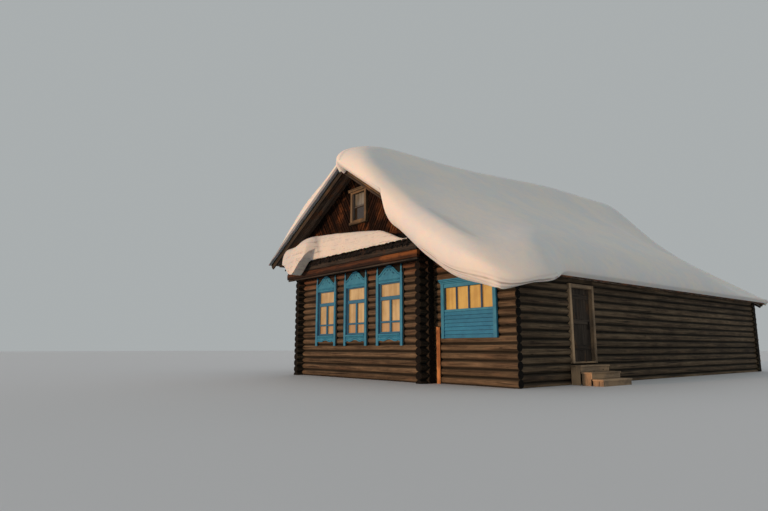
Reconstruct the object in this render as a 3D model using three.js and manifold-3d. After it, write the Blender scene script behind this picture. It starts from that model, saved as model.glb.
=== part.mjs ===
// Log farmhouse under one long, snow-laden gable roof, with a lean-to annex on its right side.
// Millimetres, +Z up. The street front looks towards -Y. While it is being built, X = 0 lies under
// the ridge, Y = 0 is the outer face of the street front and Z = 0 is the ground.
import * as THREE from 'three';
import { LoftGeometry } from 'three/addons/geometries/LoftGeometry.js';
import { mergeVertices } from 'three/addons/utils/BufferGeometryUtils.js';
import Module from 'manifold-3d';

const wasm = await Module();
wasm.setup();

// Clearance between pieces that touch
const GAP = 0.3;

// Logs
const LOG_RADIUS = 110;
const COURSE = 195;
const WALL = 200;
const LOG_END = 200;
const TRIMMED_END = 50;

// Plan of the house
const CABIN_HALF = 3080;
const ANNEX_RIGHT = 5550;
const ANNEX_FRONT = 280;
const HOUSE_LENGTH = 14800;

// Heights
const FLOOR_TOP = 500;
const FLOOR_THICK = 80;
const ATTIC_FLOOR_TOP = 3350;
const ATTIC_FLOOR_THICK = 100;
const WALL_TOP = 19 * COURSE;

// Roof
const RIDGE_TOP = 6330;
const LEFT_SLOPE = Math.tan(THREE.MathUtils.degToRad(30.2));
const RIGHT_SLOPE = Math.tan(THREE.MathUtils.degToRad(33));
const ROOF_DROP = 70;
const LEFT_EAVE = -4380;
const RIGHT_EAVE = 5780;
const VERGE = 450;
const RAKE_THICK = 30;
const RAKE_DEPTH = 230;
const RIDGE_BEAM = { width: 180, depth: 165 };

// Gable boarding and attic window
const GABLE = { front: 100, thick: 60 };
const ATTIC = { centre: 100, width: 780, bottom: 4590, top: 5600, board: 90, thick: 70 };
const ATTIC_CORNICE = { past: 60, below: 30, above: 50, proud: 60 };
const ATTIC_SILL = { past: 30, below: 40, above: 30, proud: 30 };

// Pent roof over the street front
const PENT = { left: -3230, right: 3230, beamFace: 450, beamThick: 110, beamBottom: 3100, beamTop: 3300 };
const FASCIA = { top: 3590, thick: 30 };
const PENT_BOARDS = { reach: 520, rise: 46, slope: 0.57 };
const BRACKET = { radius: 90, height: 3200, rooted: 50 };

// Street windows, measured from the bottom of the glass
const WINDOW_SILL = 1300;
const STREET_WINDOWS = [-1500, 60, 1620];
const SIDE_WINDOWS = [2000, 4600];
const GLASS = { width: 810, height: 1300, thick: 6 };
const SASH = { bar: 45, thick: 45, set: 25, mullion: 75 };
const TRANSOM = { middle: 912, thick: 100 };
const LOW_BAR = { middle: 268, thick: 48 };
const JAMB = { wide: 40, rim: 40 };

// Carved casing of a street window: side boards, crest and apron
const CASING = { half: 560, board: 100, thick: 36 };
const SIDE_BOARD = { bottom: -370, shoulder: 1660, spike: 1790, spikeHalf: 25 };
const CREST = { foot: 1550, top: 1800 };
const APRON = { bottom: -255, arch: 55 };

// Annex window
const WIDE = { left: 3360, right: 5115, bottom: 1100, top: 2550, board: 100, thick: 60 };
const WIDE_GLASS = { left: 3465, right: 5015, bottom: 1800, top: 2340, panes: 4, set: 35 };
const WIDE_HEAD = { height: 110, past: 30, proud: 50 };
const SIDING = { below: 60, back: 20, front: 45 };

// Short upright board on the annex front, in the corner beside the cabin
const CORNER_BOARD = { left: 3140, right: 3275, top: 1390, thick: 28 };

// Door on the yard side of the annex, and its steps
const DOOR = { along: 3000, width: 900, height: 1850, frame: 90, proud: 20 };
const LEAF = { threshold: 40, set: 60, thick: 50 };
const STEPS = { count: 3, going: 280, width: 1300 };

// Snow on the right slope: its depth with the gains and losses along and across the roof, how far its
// tips reach past the verges and the eave, and how long its rounded edges are
const SNOW = {
  left: -150, depth: 750, crownWidth: 1700,
  crown: 235, crownGain: { from: 3500, to: 10200, amount: 320 },
  lossAlong: { from: 10000, to: 14000, amount: 620 }, lossAcross: { from: 0, to: 3700, amount: 1 },
};
const REACH = {
  ridge: 80, front: { from: -150, to: 450, amount: 384 }, back: 100,
  eave: 100, corner: { from: 1800, to: 0, amount: 470 },
};
const ROUND = { front: 2050, back: 1700, eave: 900, ridge: 600 };

// How far it hangs below the roof's top line past the front verge and past the eave
const DROOP = {
  ridge: 100, step: { from: 2280, to: 2500, amount: 620 },
  belly: { from: 2680, to: 3880, amount: 160 }, lift: { from: 4280, to: 6080, amount: -450 },
};
const EAVE_DROOP = { plain: 10, corner: { from: 1850, to: 100, amount: 210 } };
const BACK_DROOP = 150;

// Thin snow on the left slope
const THIN_SNOW = { depth: 130, gain: { from: -4380, to: -2880, amount: 240 }, round: 350 };
const THIN_REACH = { front: 110, eave: 60, lift: 30, round: 250 };

// Snow on the pent roof, with a lump that has slid over its left end
const PENT_SNOW = { left: -3196, right: 2944, depth: 742, rise: 0.15, frontReach: 30, lip: 20 };
const PENT_LOSSES = [
  { from: -1829, to: -2629, amount: -185 }, { from: -1829, to: 2171, amount: -289 },
  { from: 1272, to: 1914, amount: -453 },
];
const PENT_ROUND = { ends: 200, front: 150 };
const LUMP = {
  end: { from: -2105, to: -1942, amount: 1 }, hang: { from: -3091, to: -2070, amount: 421 },
  reach: { from: -3396, to: -2954, amount: 258 },
};

// The least thickness of snow at a seam
const SKIN = 4;

const COLOURS = {
  log: 0x5a4030, board: 0x4a3a30, soffit: 0x6b3a22, beam: 0x9a5228, fascia: 0x5c5048,
  blue: 0x4688a6, deepBlue: 0x24587c, glass: 0xd8a45c, snow: 0xe8dccf, frame: 0x6e5a40, floor: 0x8a6a48,
};

const roofTop = (x) => RIDGE_TOP + Math.min(x * LEFT_SLOPE, -x * RIGHT_SLOPE);
const roofUnder = (x) => roofTop(x) - ROOF_DROP;
const beamTop = roofUnder(RIDGE_BEAM.width / 2) - GAP;
const beamBottom = beamTop - RIDGE_BEAM.depth;

const house = new THREE.Group();

// A closed geometry as a solid that can be joined and cut
function solidOf(geometry) {
  const bare = new THREE.BufferGeometry().copy(geometry);
  bare.deleteAttribute('normal');
  bare.deleteAttribute('uv');
  const merged = mergeVertices(bare, 0.01);
  const vertProperties = new Float32Array(merged.attributes.position.array);
  const triVerts = new Uint32Array(merged.index.array);
  return new wasm.Manifold(new wasm.Mesh({ numProp: 3, vertProperties, triVerts }));
}

function geometryOf(solid) {
  const { vertProperties, triVerts } = solid.getMesh();
  const geometry = new THREE.BufferGeometry();
  geometry.setAttribute('position', new THREE.BufferAttribute(new Float32Array(vertProperties), 3));
  geometry.setIndex(new THREE.BufferAttribute(new Uint32Array(triVerts), 1));
  geometry.computeVertexNormals();
  return geometry;
}

function addPiece(parent, name, geometry, colour, roughness = 0.9) {
  const material = new THREE.MeshStandardMaterial({ color: colour, roughness, metalness: 0 });
  const mesh = new THREE.Mesh(geometry, material);
  mesh.name = name;
  parent.add(mesh);
  return mesh;
}

// A box between two corners
function block(x0, x1, y0, y1, z0, z1) {
  const box = new THREE.BoxGeometry(x1 - x0, y1 - y0, z1 - z0);
  return box.translate((x0 + x1) / 2, (y0 + y1) / 2, (z0 + z1) / 2);
}

function polygon(points) {
  return new THREE.Shape(points.map(([u, v]) => new THREE.Vector2(u, v)));
}

// A drawn shape given a thickness from z = from to z = to
function plate(shape, from, to, curveSegments = 6) {
  const geometry = new THREE.ExtrudeGeometry(shape, { depth: to - from, bevelEnabled: false, curveSegments });
  return geometry.translate(0, 0, from);
}

// A group whose x runs along a wall as seen from outside, y up, and z outwards
function wallFrame(x, y, turn) {
  const frame = new THREE.Group();
  frame.rotation.set(Math.PI / 2, 0, THREE.MathUtils.degToRad(turn), 'ZYX');
  frame.position.set(x, y, 0);
  house.add(frame);
  return frame;
}

// How far the log surface lies behind the fullest part of a log, at height v
function hollow(v, phase) {
  const centre = (Math.floor(v / COURSE + phase + 1e-6) + 0.5 - phase) * COURSE;
  const off = Math.min(Math.abs(v - centre), COURSE / 2);
  return LOG_RADIUS - Math.sqrt(LOG_RADIUS * LOG_RADIUS - off * off);
}

// Heights at which a stack of logs is sampled, four to a course
function courseHeights(from, to) {
  const step = COURSE / 4;
  const heights = [from];
  for (let k = Math.floor(from / step) + 1; k * step < to - 1; k++) heights.push(k * step);
  heights.push(to);
  return heights;
}

// A wall of stacked logs, round outside and hewn flat inside. outerTop and innerTop differ under a slope
function logWall(from, to, outerTop, innerTop, phase, thick = WALL) {
  const face = courseHeights(0, outerTop).map((v) => [-hollow(v, phase), v]);
  const section = polygon([[-thick, innerTop], [-thick, 0], ...face]);
  const geometry = plate(section, 0, to - from);
  return solidOf(geometry.rotateY(-Math.PI / 2).translate(to, 0, 0));
}

// The stack of crossing log ends that stands out of a wall's face
function logEnds(from, to, top, reach, phase) {
  const heights = courseHeights(0, top);
  const left = heights.map((v) => [from + hollow(v, phase), v]);
  const right = heights.map((v) => [to - hollow(v, phase), v]).reverse();
  return solidOf(plate(polygon([...left, ...right]), -WALL / 2, reach));
}

function opening(u0, u1, v0, v1) {
  return solidOf(block(u0, u1, v0, v1, -WALL - 100, 100));
}

// Walls
function streetWall() {
  const frame = wallFrame(0, 0, 0);
  const from = -CABIN_HALF - LOG_END;
  let wall = logWall(from, CABIN_HALF + TRIMMED_END, WALL_TOP, WALL_TOP, 0);
  for (const left of [-CABIN_HALF, CABIN_HALF - WALL]) {
    wall = wall.add(logEnds(left, left + WALL, WALL_TOP, LOG_END, 0.5));
    const reach = PENT.beamFace - PENT.beamThick - GAP;
    const { radius, height, rooted } = BRACKET;
    const bracket = new THREE.CylinderGeometry(radius, radius, reach + rooted, 12);
    bracket.rotateX(Math.PI / 2).translate(left + WALL / 2, height, (reach - rooted) / 2);
    wall = wall.add(solidOf(bracket));
  }
  for (const centre of STREET_WINDOWS) wall = wall.subtract(windowHole(centre));
  addPiece(frame, 'street_wall', geometryOf(wall), COLOURS.log);
}

function windowHole(centre) {
  const half = GLASS.width / 2 + SASH.bar + JAMB.wide + GAP;
  const rim = SASH.bar + JAMB.rim + GAP;
  return opening(centre - half, centre + half, WINDOW_SILL - rim, WINDOW_SILL + GLASS.height + rim);
}

function backWall() {
  const frame = wallFrame(0, HOUSE_LENGTH, 180);
  const right = CABIN_HALF + LOG_END;
  const left = -ANNEX_RIGHT - TRIMMED_END;
  let wall = logWall(left, right, roofUnder(CABIN_HALF), roofUnder(CABIN_HALF), 0);
  const outline = polygon([
    [left, 0], [right, 0], [right, WALL_TOP], [-CABIN_HALF, WALL_TOP],
    [-CABIN_HALF, roofUnder(CABIN_HALF) - GAP], [left, roofUnder(-left) - GAP],
  ]);
  wall = wall.intersect(solidOf(plate(outline, -WALL - 10, 10)));
  for (const [end, top] of [
    [CABIN_HALF - WALL, WALL_TOP], [-CABIN_HALF, WALL_TOP], [-ANNEX_RIGHT, roofUnder(ANNEX_RIGHT) - GAP],
  ]) {
    wall = wall.add(logEnds(end, end + WALL, top, LOG_END, 0.5));
  }
  addPiece(frame, 'back_wall', geometryOf(wall), COLOURS.log);
}

function sideWalls() {
  const inner = WALL + GAP;
  const under = (x) => roofUnder(x) - GAP;
  const left = wallFrame(-CABIN_HALF, 0, -90);
  let wall = logWall(inner - HOUSE_LENGTH, -inner, under(-CABIN_HALF), under(WALL - CABIN_HALF), 0.5);
  for (const along of SIDE_WINDOWS) wall = wall.subtract(windowHole(-along));
  addPiece(left, 'left_wall', geometryOf(wall), COLOURS.log);

  const middle = wallFrame(CABIN_HALF, 0, 90);
  wall = logWall(inner, HOUSE_LENGTH - inner, under(CABIN_HALF), under(CABIN_HALF - WALL), 0.5);
  addPiece(middle, 'middle_wall', geometryOf(wall), COLOURS.log);

  const right = wallFrame(ANNEX_RIGHT, 0, 90);
  const start = ANNEX_FRONT + inner;
  wall = logWall(start, HOUSE_LENGTH - inner, under(ANNEX_RIGHT), under(ANNEX_RIGHT - WALL), 0.5);
  const half = DOOR.width / 2 + DOOR.frame + GAP;
  const top = FLOOR_TOP + DOOR.height + DOOR.frame + GAP;
  wall = wall.subtract(opening(DOOR.along - half, DOOR.along + half, FLOOR_TOP + GAP, top));
  addPiece(right, 'annex_side_wall', geometryOf(wall), COLOURS.log);
}

function annexFront() {
  const frame = wallFrame(0, ANNEX_FRONT, 0);
  const start = CABIN_HALF - WALL / 2;
  const end = ANNEX_RIGHT + TRIMMED_END;
  const top = roofUnder(CABIN_HALF - WALL / 2) - GAP;
  let wall = logWall(start, end, top, top, 0);
  const below = polygon([[start, 0], [end, 0], [end, roofUnder(end) - GAP], [start, top]]);
  wall = wall.intersect(solidOf(plate(below, -WALL - 10, 10)));
  const heights = courseHeights(0, roofUnder(CABIN_HALF) - GAP);
  const scribed = heights.map((v) => [CABIN_HALF - hollow(v, 0.5) + GAP, v]);
  const cabinSide = polygon([[start - 50, 0], ...scribed, [start - 50, top + COURSE]]);
  wall = wall.subtract(solidOf(plate(cabinSide, -WALL - 20, 20)));
  const { left, right, bottom, top: glassTop } = WIDE_GLASS;
  const rim = SASH.bar + GAP;
  wall = wall.subtract(opening(left - rim, right + rim, bottom - rim, glassTop + rim));
  addPiece(frame, 'annex_front_wall', geometryOf(wall), COLOURS.log);
}

// Floors, each between the walls' inner faces
function floors() {
  const edge = WALL + GAP;
  const back = HOUSE_LENGTH - edge;
  const cabin = [-CABIN_HALF + edge, CABIN_HALF - edge, edge, back];
  const annex = [CABIN_HALF + GAP, ANNEX_RIGHT - edge, ANNEX_FRONT + edge, back];
  for (const [name, plan, top, thick] of [
    ['cabin_floor', cabin, FLOOR_TOP, FLOOR_THICK],
    ['annex_floor', annex, FLOOR_TOP, FLOOR_THICK],
    ['attic_floor', cabin, ATTIC_FLOOR_TOP, ATTIC_FLOOR_THICK],
  ]) {
    addPiece(house, name, block(...plan, top - thick, top), COLOURS.floor);
  }
}

// Gables stand on the end walls and carry the ridge beam
function gable(name, frame, flip, withWindow) {
  const side = CABIN_HALF - GAP;
  const under = (u) => roofUnder(flip * u) - GAP;
  const beam = RIDGE_BEAM.width / 2 + GAP;
  const outline = polygon([
    [-side, WALL_TOP + GAP], [side, WALL_TOP + GAP], [side, under(side)], [beam, under(beam)],
    [beam, beamBottom - GAP], [-beam, beamBottom - GAP], [-beam, under(-beam)], [-side, under(-side)],
  ]);
  let boards = solidOf(plate(outline, -GABLE.front - GABLE.thick, -GABLE.front));
  if (withWindow) {
    const { centre, width, bottom, top } = ATTIC;
    const half = width / 2 + GAP;
    boards = boards.subtract(opening(centre - half, centre + half, bottom - GAP, top + GAP));
  }
  addPiece(frame, name, geometryOf(boards), COLOURS.board);
}

// A ledge across the attic window's frame, around the height v
function ledge({ past, below, above, proud }, v) {
  const half = ATTIC.width / 2 + past;
  const face = -GABLE.front;
  return solidOf(block(-half, half, v - below, v + above, face + GAP, face + ATTIC.thick + proud));
}

function atticWindow(wall) {
  const frame = new THREE.Group();
  frame.position.x = ATTIC.centre;
  wall.add(frame);
  const { width, bottom, top, board, thick } = ATTIC;
  const half = width / 2;
  const face = -GABLE.front;
  const inner = half - board;
  const through = [face - GABLE.thick - 10, face + thick + 10];
  let casing = solidOf(block(-half, half, bottom, top, face - GABLE.thick, face + thick));
  casing = casing.subtract(solidOf(block(-inner, inner, bottom + board, top - board, ...through)));
  casing = casing.add(ledge(ATTIC_CORNICE, top)).add(ledge(ATTIC_SILL, bottom));
  addPiece(frame, 'attic_window_frame', geometryOf(casing), COLOURS.frame);
  const edge = inner - GAP;
  const rim = board + GAP;
  const glass = block(-edge, edge, bottom + rim, top - rim, face - 40, face - 30);
  addPiece(frame, 'attic_window_glass', glass, COLOURS.glass, 0.1);
}

// Roof
function roof() {
  for (const [name, from, to] of [['roof_left', -GAP / 2, LEFT_EAVE], ['roof_right', GAP / 2, RIGHT_EAVE]]) {
    const upper = [[from, roofTop(from)], [to, roofTop(to)]];
    const lower = [[to, roofUnder(to)], [from, roofUnder(from)]];
    const slab = plate(polygon([...upper, ...lower]), 0, HOUSE_LENGTH + 2 * VERGE);
    slab.rotateX(Math.PI / 2).translate(0, HOUSE_LENGTH + VERGE, 0);
    addPiece(house, name, slab, COLOURS.board);
  }
  const half = RIDGE_BEAM.width / 2;
  const ends = [-VERGE, HOUSE_LENGTH + VERGE];
  const beam = block(-half, half, ...ends, beamBottom, beamTop);
  addPiece(house, 'ridge_beam', beam, COLOURS.soffit);
  const down = (x) => roofTop(x) - RAKE_DEPTH;
  const outline = polygon([
    [LEFT_EAVE, roofTop(LEFT_EAVE)], [LEFT_EAVE, down(LEFT_EAVE)], [0, down(0)],
    [RIGHT_EAVE, down(RIGHT_EAVE)], [RIGHT_EAVE, roofTop(RIGHT_EAVE)], [0, roofTop(0)],
  ]);
  for (const [name, y] of [
    ['front_rake', -VERGE - GAP], ['back_rake', HOUSE_LENGTH + VERGE + GAP + RAKE_THICK],
  ]) {
    const rake = plate(outline, 0, RAKE_THICK);
    addPiece(house, name, rake.rotateX(Math.PI / 2).translate(0, y, 0), COLOURS.soffit);
  }
}

// Pent roof over the street windows
const pentUnder = (y) => FASCIA.top + GAP + (y + PENT.beamFace) * PENT_BOARDS.slope;
const pentTop = (y) => pentUnder(y) + PENT_BOARDS.rise;

// A section in the YZ plane carried along X
function alongX(points, from, to) {
  const [x, y, z] = [[1, 0, 0], [0, 1, 0], [0, 0, 1]].map((axis) => new THREE.Vector3(...axis));
  return plate(polygon(points), from, to).applyMatrix4(new THREE.Matrix4().makeBasis(y, z, x));
}

function pentRoof() {
  const { left, right, beamFace, beamThick, beamBottom, beamTop } = PENT;
  const beam = block(left, right, -beamFace, -beamFace + beamThick, beamBottom, beamTop - GAP);
  addPiece(house, 'pent_beam', beam, COLOURS.beam);
  const fascia = block(left + 30, right - 30, -beamFace, -beamFace + FASCIA.thick, beamTop, FASCIA.top);
  addPiece(house, 'pent_fascia', fascia, COLOURS.fascia);
  const foot = -PENT_BOARDS.reach;
  const head = GABLE.front - GAP;
  const lower = [[foot, pentUnder(foot)], [head, pentUnder(head)]];
  const upper = [[head, pentTop(head)], [foot, pentTop(foot)]];
  addPiece(house, 'pent_boards', alongX([...lower, ...upper], left, right), COLOURS.board);
}

// Outline of a carved casing, drawn from the foot of the left side board round to its spike
function casingShape() {
  const { half, board } = CASING;
  const { bottom, shoulder, spike, spikeHalf } = SIDE_BOARD;
  const { foot, top } = CREST;
  const inner = half - board;
  const middle = half - board / 2;
  const scallop = APRON.arch / 2;
  const arch = APRON.bottom + APRON.arch * 2;
  const shape = new THREE.Shape();
  shape.moveTo(-half, bottom).lineTo(-inner, bottom).lineTo(-inner, APRON.bottom);
  shape.quadraticCurveTo(-inner * 0.8, APRON.bottom + scallop, -inner * 0.6, APRON.bottom);
  shape.quadraticCurveTo(0, arch, inner * 0.6, APRON.bottom);
  shape.quadraticCurveTo(inner * 0.8, APRON.bottom + scallop, inner, APRON.bottom);
  shape.lineTo(inner, bottom).lineTo(half, bottom).lineTo(half, foot);
  shape.lineTo(middle + spikeHalf, shoulder).lineTo(middle + spikeHalf, spike);
  shape.lineTo(middle - spikeHalf, spike).lineTo(middle - spikeHalf, shoulder).lineTo(inner, foot);
  shape.bezierCurveTo(inner * 0.8, foot, inner * 0.62, top, 0, top);
  shape.bezierCurveTo(-inner * 0.62, top, -inner * 0.8, foot, -inner, foot);
  shape.lineTo(-middle + spikeHalf, shoulder).lineTo(-middle + spikeHalf, spike);
  shape.lineTo(-middle - spikeHalf, spike).lineTo(-middle - spikeHalf, shoulder).lineTo(-half, foot);
  return shape;
}

// A glazed lattice: a slab with one hole for each pane
function lattice(u0, u1, v0, v1, from, to, panes) {
  let bars = solidOf(block(u0, u1, v0, v1, from, to));
  for (const [a, b, c, d] of panes) bars = bars.subtract(solidOf(block(a, b, c, d, from - 10, to + 10)));
  return bars;
}

// A top light over two casements, each with a low bar across it
function sashBars() {
  const half = GLASS.width / 2;
  const { bar, set, thick, mullion } = SASH;
  const panes = [[-half, half, TRANSOM.middle + TRANSOM.thick / 2, GLASS.height]];
  for (const [u0, u1] of [[-half, -mullion / 2], [mullion / 2, half]]) {
    panes.push([u0, u1, 0, LOW_BAR.middle - LOW_BAR.thick / 2]);
    panes.push([u0, u1, LOW_BAR.middle + LOW_BAR.thick / 2, TRANSOM.middle - TRANSOM.thick / 2]);
  }
  return lattice(-half - bar, half + bar, -bar, GLASS.height + bar, -set - thick, -set, panes);
}

function carvedWindow(name, frame, centre) {
  const place = new THREE.Group();
  place.position.set(centre, WINDOW_SILL, 0);
  frame.add(place);
  const inner = GLASS.width / 2 + SASH.bar;
  const hole = block(-inner - 10, inner + 10, -SASH.bar - 10, GLASS.height + SASH.bar + 10, -50, 100);
  const casing = solidOf(plate(casingShape(), GAP, CASING.thick)).subtract(solidOf(hole));
  addPiece(place, name + '_casing', geometryOf(casing), COLOURS.blue, 0.6);
  const outer = inner + JAMB.wide;
  const tall = GLASS.height + SASH.bar;
  const low = -SASH.bar;
  let sash = solidOf(block(-outer, outer, low - JAMB.rim, tall + JAMB.rim, -WALL, 0));
  sash = sash.subtract(solidOf(block(-inner + 10, inner - 10, low + 10, tall - 10, -WALL - 10, 10)));
  sash = sash.add(sashBars());
  addPiece(place, name + '_sash', geometryOf(sash), COLOURS.deepBlue, 0.6);
  const edge = 10 + GAP;
  const back = -SASH.set - SASH.thick - GAP;
  const pane = block(-inner + edge, inner - edge, low + edge, tall - edge, back - GLASS.thick, back);
  addPiece(place, name + '_glass', pane, COLOURS.glass, 0.1);
}

function annexWindow() {
  const frame = wallFrame(0, ANNEX_FRONT, 0);
  const { left, right, bottom, top, board, thick } = WIDE;
  const { height, past, proud } = WIDE_HEAD;
  const glass = WIDE_GLASS;
  const panelTop = glass.bottom - SIDING.below;
  const recess = block(left + board, right - board, bottom - 10, panelTop, SIDING.back, thick + 10);
  const light = block(glass.left, glass.right, glass.bottom, glass.top, -10, thick + 10);
  let casing = solidOf(block(left, right, bottom, top, GAP, thick));
  casing = casing.subtract(solidOf(recess)).subtract(solidOf(light));
  casing = casing.add(solidOf(block(left - past, right + past, top - height, top, GAP, thick + proud)));
  addPiece(frame, 'annex_window_casing', geometryOf(casing), COLOURS.blue, 0.6);
  const { bar } = SASH;
  const pane = (glass.right - glass.left - (glass.panes - 1) * bar) / glass.panes;
  const panes = [];
  for (let k = 0; k < glass.panes; k++) {
    const u = glass.left + k * (pane + bar);
    panes.push([u, u + pane, glass.bottom, glass.top]);
  }
  const edges = [glass.left - bar, glass.right + bar, glass.bottom - bar, glass.top + bar];
  const sash = lattice(...edges, -glass.set, 0, panes);
  addPiece(frame, 'annex_window_sash', geometryOf(sash), COLOURS.deepBlue, 0.6);
  const lap = bar / 2;
  const back = -glass.set - GAP;
  const plan = [glass.left - lap, glass.right + lap, glass.bottom - lap, glass.top + lap];
  addPiece(frame, 'annex_window_glass', block(...plan, back - GLASS.thick, back), COLOURS.glass, 0.1);
  const panel = [left + board + GAP, right - board - GAP, bottom, panelTop - GAP];
  addPiece(frame, 'annex_siding', block(...panel, SIDING.back + GAP, SIDING.front), COLOURS.blue, 0.6);
}

function cornerBoard() {
  const { left, right, top, thick } = CORNER_BOARD;
  const board = block(left, right, 0, top, GAP, GAP + thick);
  addPiece(wallFrame(0, ANNEX_FRONT, 0), 'corner_board', board, COLOURS.beam);
}

// Door and steps on the yard side
function yardDoor() {
  const frame = wallFrame(ANNEX_RIGHT, 0, 90);
  const { along, width, height, frame: board, proud } = DOOR;
  const { threshold, set, thick } = LEAF;
  const half = width / 2;
  const low = FLOOR_TOP + 2 * GAP;
  const high = FLOOR_TOP + height;
  let casing = solidOf(block(along - half - board, along + half + board, low, high + board, -WALL, proud));
  casing = casing.subtract(opening(along - half, along + half, low + threshold, high));
  addPiece(frame, 'door_frame', geometryOf(casing), COLOURS.board);
  const edge = half - GAP;
  const foot = low + threshold + GAP;
  const leaf = block(along - edge, along + edge, foot, high - GAP, -set - thick, -set);
  addPiece(frame, 'door', leaf, COLOURS.soffit);
  const rise = (FLOOR_TOP - threshold) / STEPS.count;
  const steps = new THREE.Shape();
  steps.moveTo(GAP, 0).lineTo(STEPS.count * STEPS.going, 0);
  for (let k = STEPS.count; k > 0; k--) {
    const top = (STEPS.count - k + 1) * rise;
    steps.lineTo(k * STEPS.going, top);
    steps.lineTo(k > 1 ? (k - 1) * STEPS.going : GAP, top);
  }
  const flight = plate(steps, 0, STEPS.width);
  flight.rotateY(-Math.PI / 2).translate(along + STEPS.width / 2, 0, 0);
  addPiece(frame, 'door_steps', flight, COLOURS.floor);
}

// Snow. A soft change by an amount between two places
function change({ from, to, amount }, at) {
  return amount * THREE.MathUtils.smoothstep((at - from) / (to - from), 0, 1);
}

// The rounded fall of a snow edge: 1 where it is full, 0 at its tip
const nose = (q, power) => Math.sqrt(Math.max(0, 1 - Math.max(0, q) ** power));

// Places from one to another by their shares of the way
const between = (from, to, shares) => shares.map((share) => from + share * (to - from));

// A line of stations that keeps one place
const fixed = (places) => places.map((place) => () => place);

// Two sheets over one grid, which meet along all four sides. A column gives x for a row's y, and a row
// gives y for a column's x
function blanket(columns, rows, top, bottom) {
  const last = columns.length - 1;
  const sections = rows.map((row, j) => {
    const seam = j === 0 || j === rows.length - 1;
    const grid = columns.map((column, i) => {
      const x = column(row(Infinity));
      return { x, y: row(x), joined: seam || i === 0 || i === last };
    });
    const upper = grid.map(({ x, y, joined }) => new THREE.Vector3(x, y, joined ? bottom(x, y) : top(x, y)));
    const lower = grid.slice(1, -1).reverse().map(({ x, y }) => new THREE.Vector3(x, y, bottom(x, y)));
    return [...upper, ...lower];
  });
  return geometryOf(solidOf(new LoftGeometry(sections)));
}

// The snow's inner edges, just past the rake boards and the right eave, and how fast it drops beyond them
const frontEdge = -VERGE - RAKE_THICK - 2 * GAP;
const backEdge = HOUSE_LENGTH - frontEdge;
const sideEdge = RIGHT_EAVE + 4;
const DROP = 60;

// Tips of the heavy blanket
const frontReach = (x) => REACH.ridge + change(REACH.front, x);
const sideReach = (y) => REACH.eave + change(REACH.corner, y);

// How far the heavy blanket hangs below the roof's top line
function hangAt(x, y) {
  const front = DROOP.ridge + change(DROOP.step, x) + change(DROOP.belly, x) + change(DROOP.lift, x);
  const side = EAVE_DROOP.plain + change(EAVE_DROOP.corner, y);
  return Math.max(
    change({ from: frontEdge, to: frontEdge - DROP, amount: front }, y),
    change({ from: backEdge, to: backEdge + DROP, amount: BACK_DROOP }, y),
    change({ from: sideEdge, to: sideEdge + DROP, amount: side }, x),
  );
}

// Heavy blanket on the right slope: thick at the ridge, curled over the verges, hung low at the front
// corner and thinner towards the far lower corner
function rightSnow() {
  const full = (x, y) => {
    const crown = (SNOW.crown + change(SNOW.crownGain, y)) * Math.exp(-((x / SNOW.crownWidth) ** 2));
    return roofTop(x) + SNOW.depth + crown - change(SNOW.lossAlong, y) * change(SNOW.lossAcross, x);
  };
  const middle = (x, y) => roofTop(x) - 0.5 * hangAt(x, y) + 0.25 * SNOW.depth;
  const bottom = (x, y) => {
    const front = nose((frontEdge - y) / frontReach(x), 2.2);
    const back = nose((y - backEdge) / REACH.back, 2.2);
    const side = nose((x - sideEdge) / sideReach(y), 2.2);
    const low = roofTop(x) + GAP - hangAt(x, y);
    return low + (middle(x, y) - low) * (1 - front * back * side);
  };
  const top = (x, y) => {
    const frontTip = frontEdge - frontReach(x);
    const front = nose((ROUND.front - y) / (ROUND.front - frontTip), 2);
    const back = nose(1 - (backEdge + REACH.back - y) / ROUND.back, 2.25);
    const side = nose(1 - (sideEdge + sideReach(y) - x) / ROUND.eave, 2.4);
    const ridge = nose(1 - (x - SNOW.left) / ROUND.ridge, 2.4);
    const low = Math.max(bottom(x, y), Math.min(middle(x, y), full(x, y)));
    return low + (full(x, y) - low) * front * back * side * ridge + SKIN;
  };
  const columns = [
    ...fixed(between(SNOW.left, 450, [0, 0.01, 0.07, 0.25, 0.6])),
    ...fixed([600, 1200, 1800, 2280, 2360, 2430, 2500, 3100, 3700, 4300, 4900, 5400, RIGHT_EAVE, sideEdge]),
    ...[0.12, 0.25, 0.6, 0.85, 0.96, 1].map((share) => (y) => sideEdge + share * sideReach(y)),
  ];
  const rows = [
    ...[1, 0.97, 0.88, 0.7, 0.4, 0.15].map((share) => (x) => frontEdge - share * frontReach(x)),
    ...fixed([frontEdge - 1, frontEdge, -100, 400, 1000, 1800, 3000, 5500, 8500, 11500, 13500, 14600]),
    ...fixed([backEdge, ...between(backEdge, backEdge + REACH.back, [0.01, 0.2, 0.6, 0.88, 1])]),
  ];
  addPiece(house, 'snow_right', blanket(columns, rows, top, bottom), COLOURS.snow);
}

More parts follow.
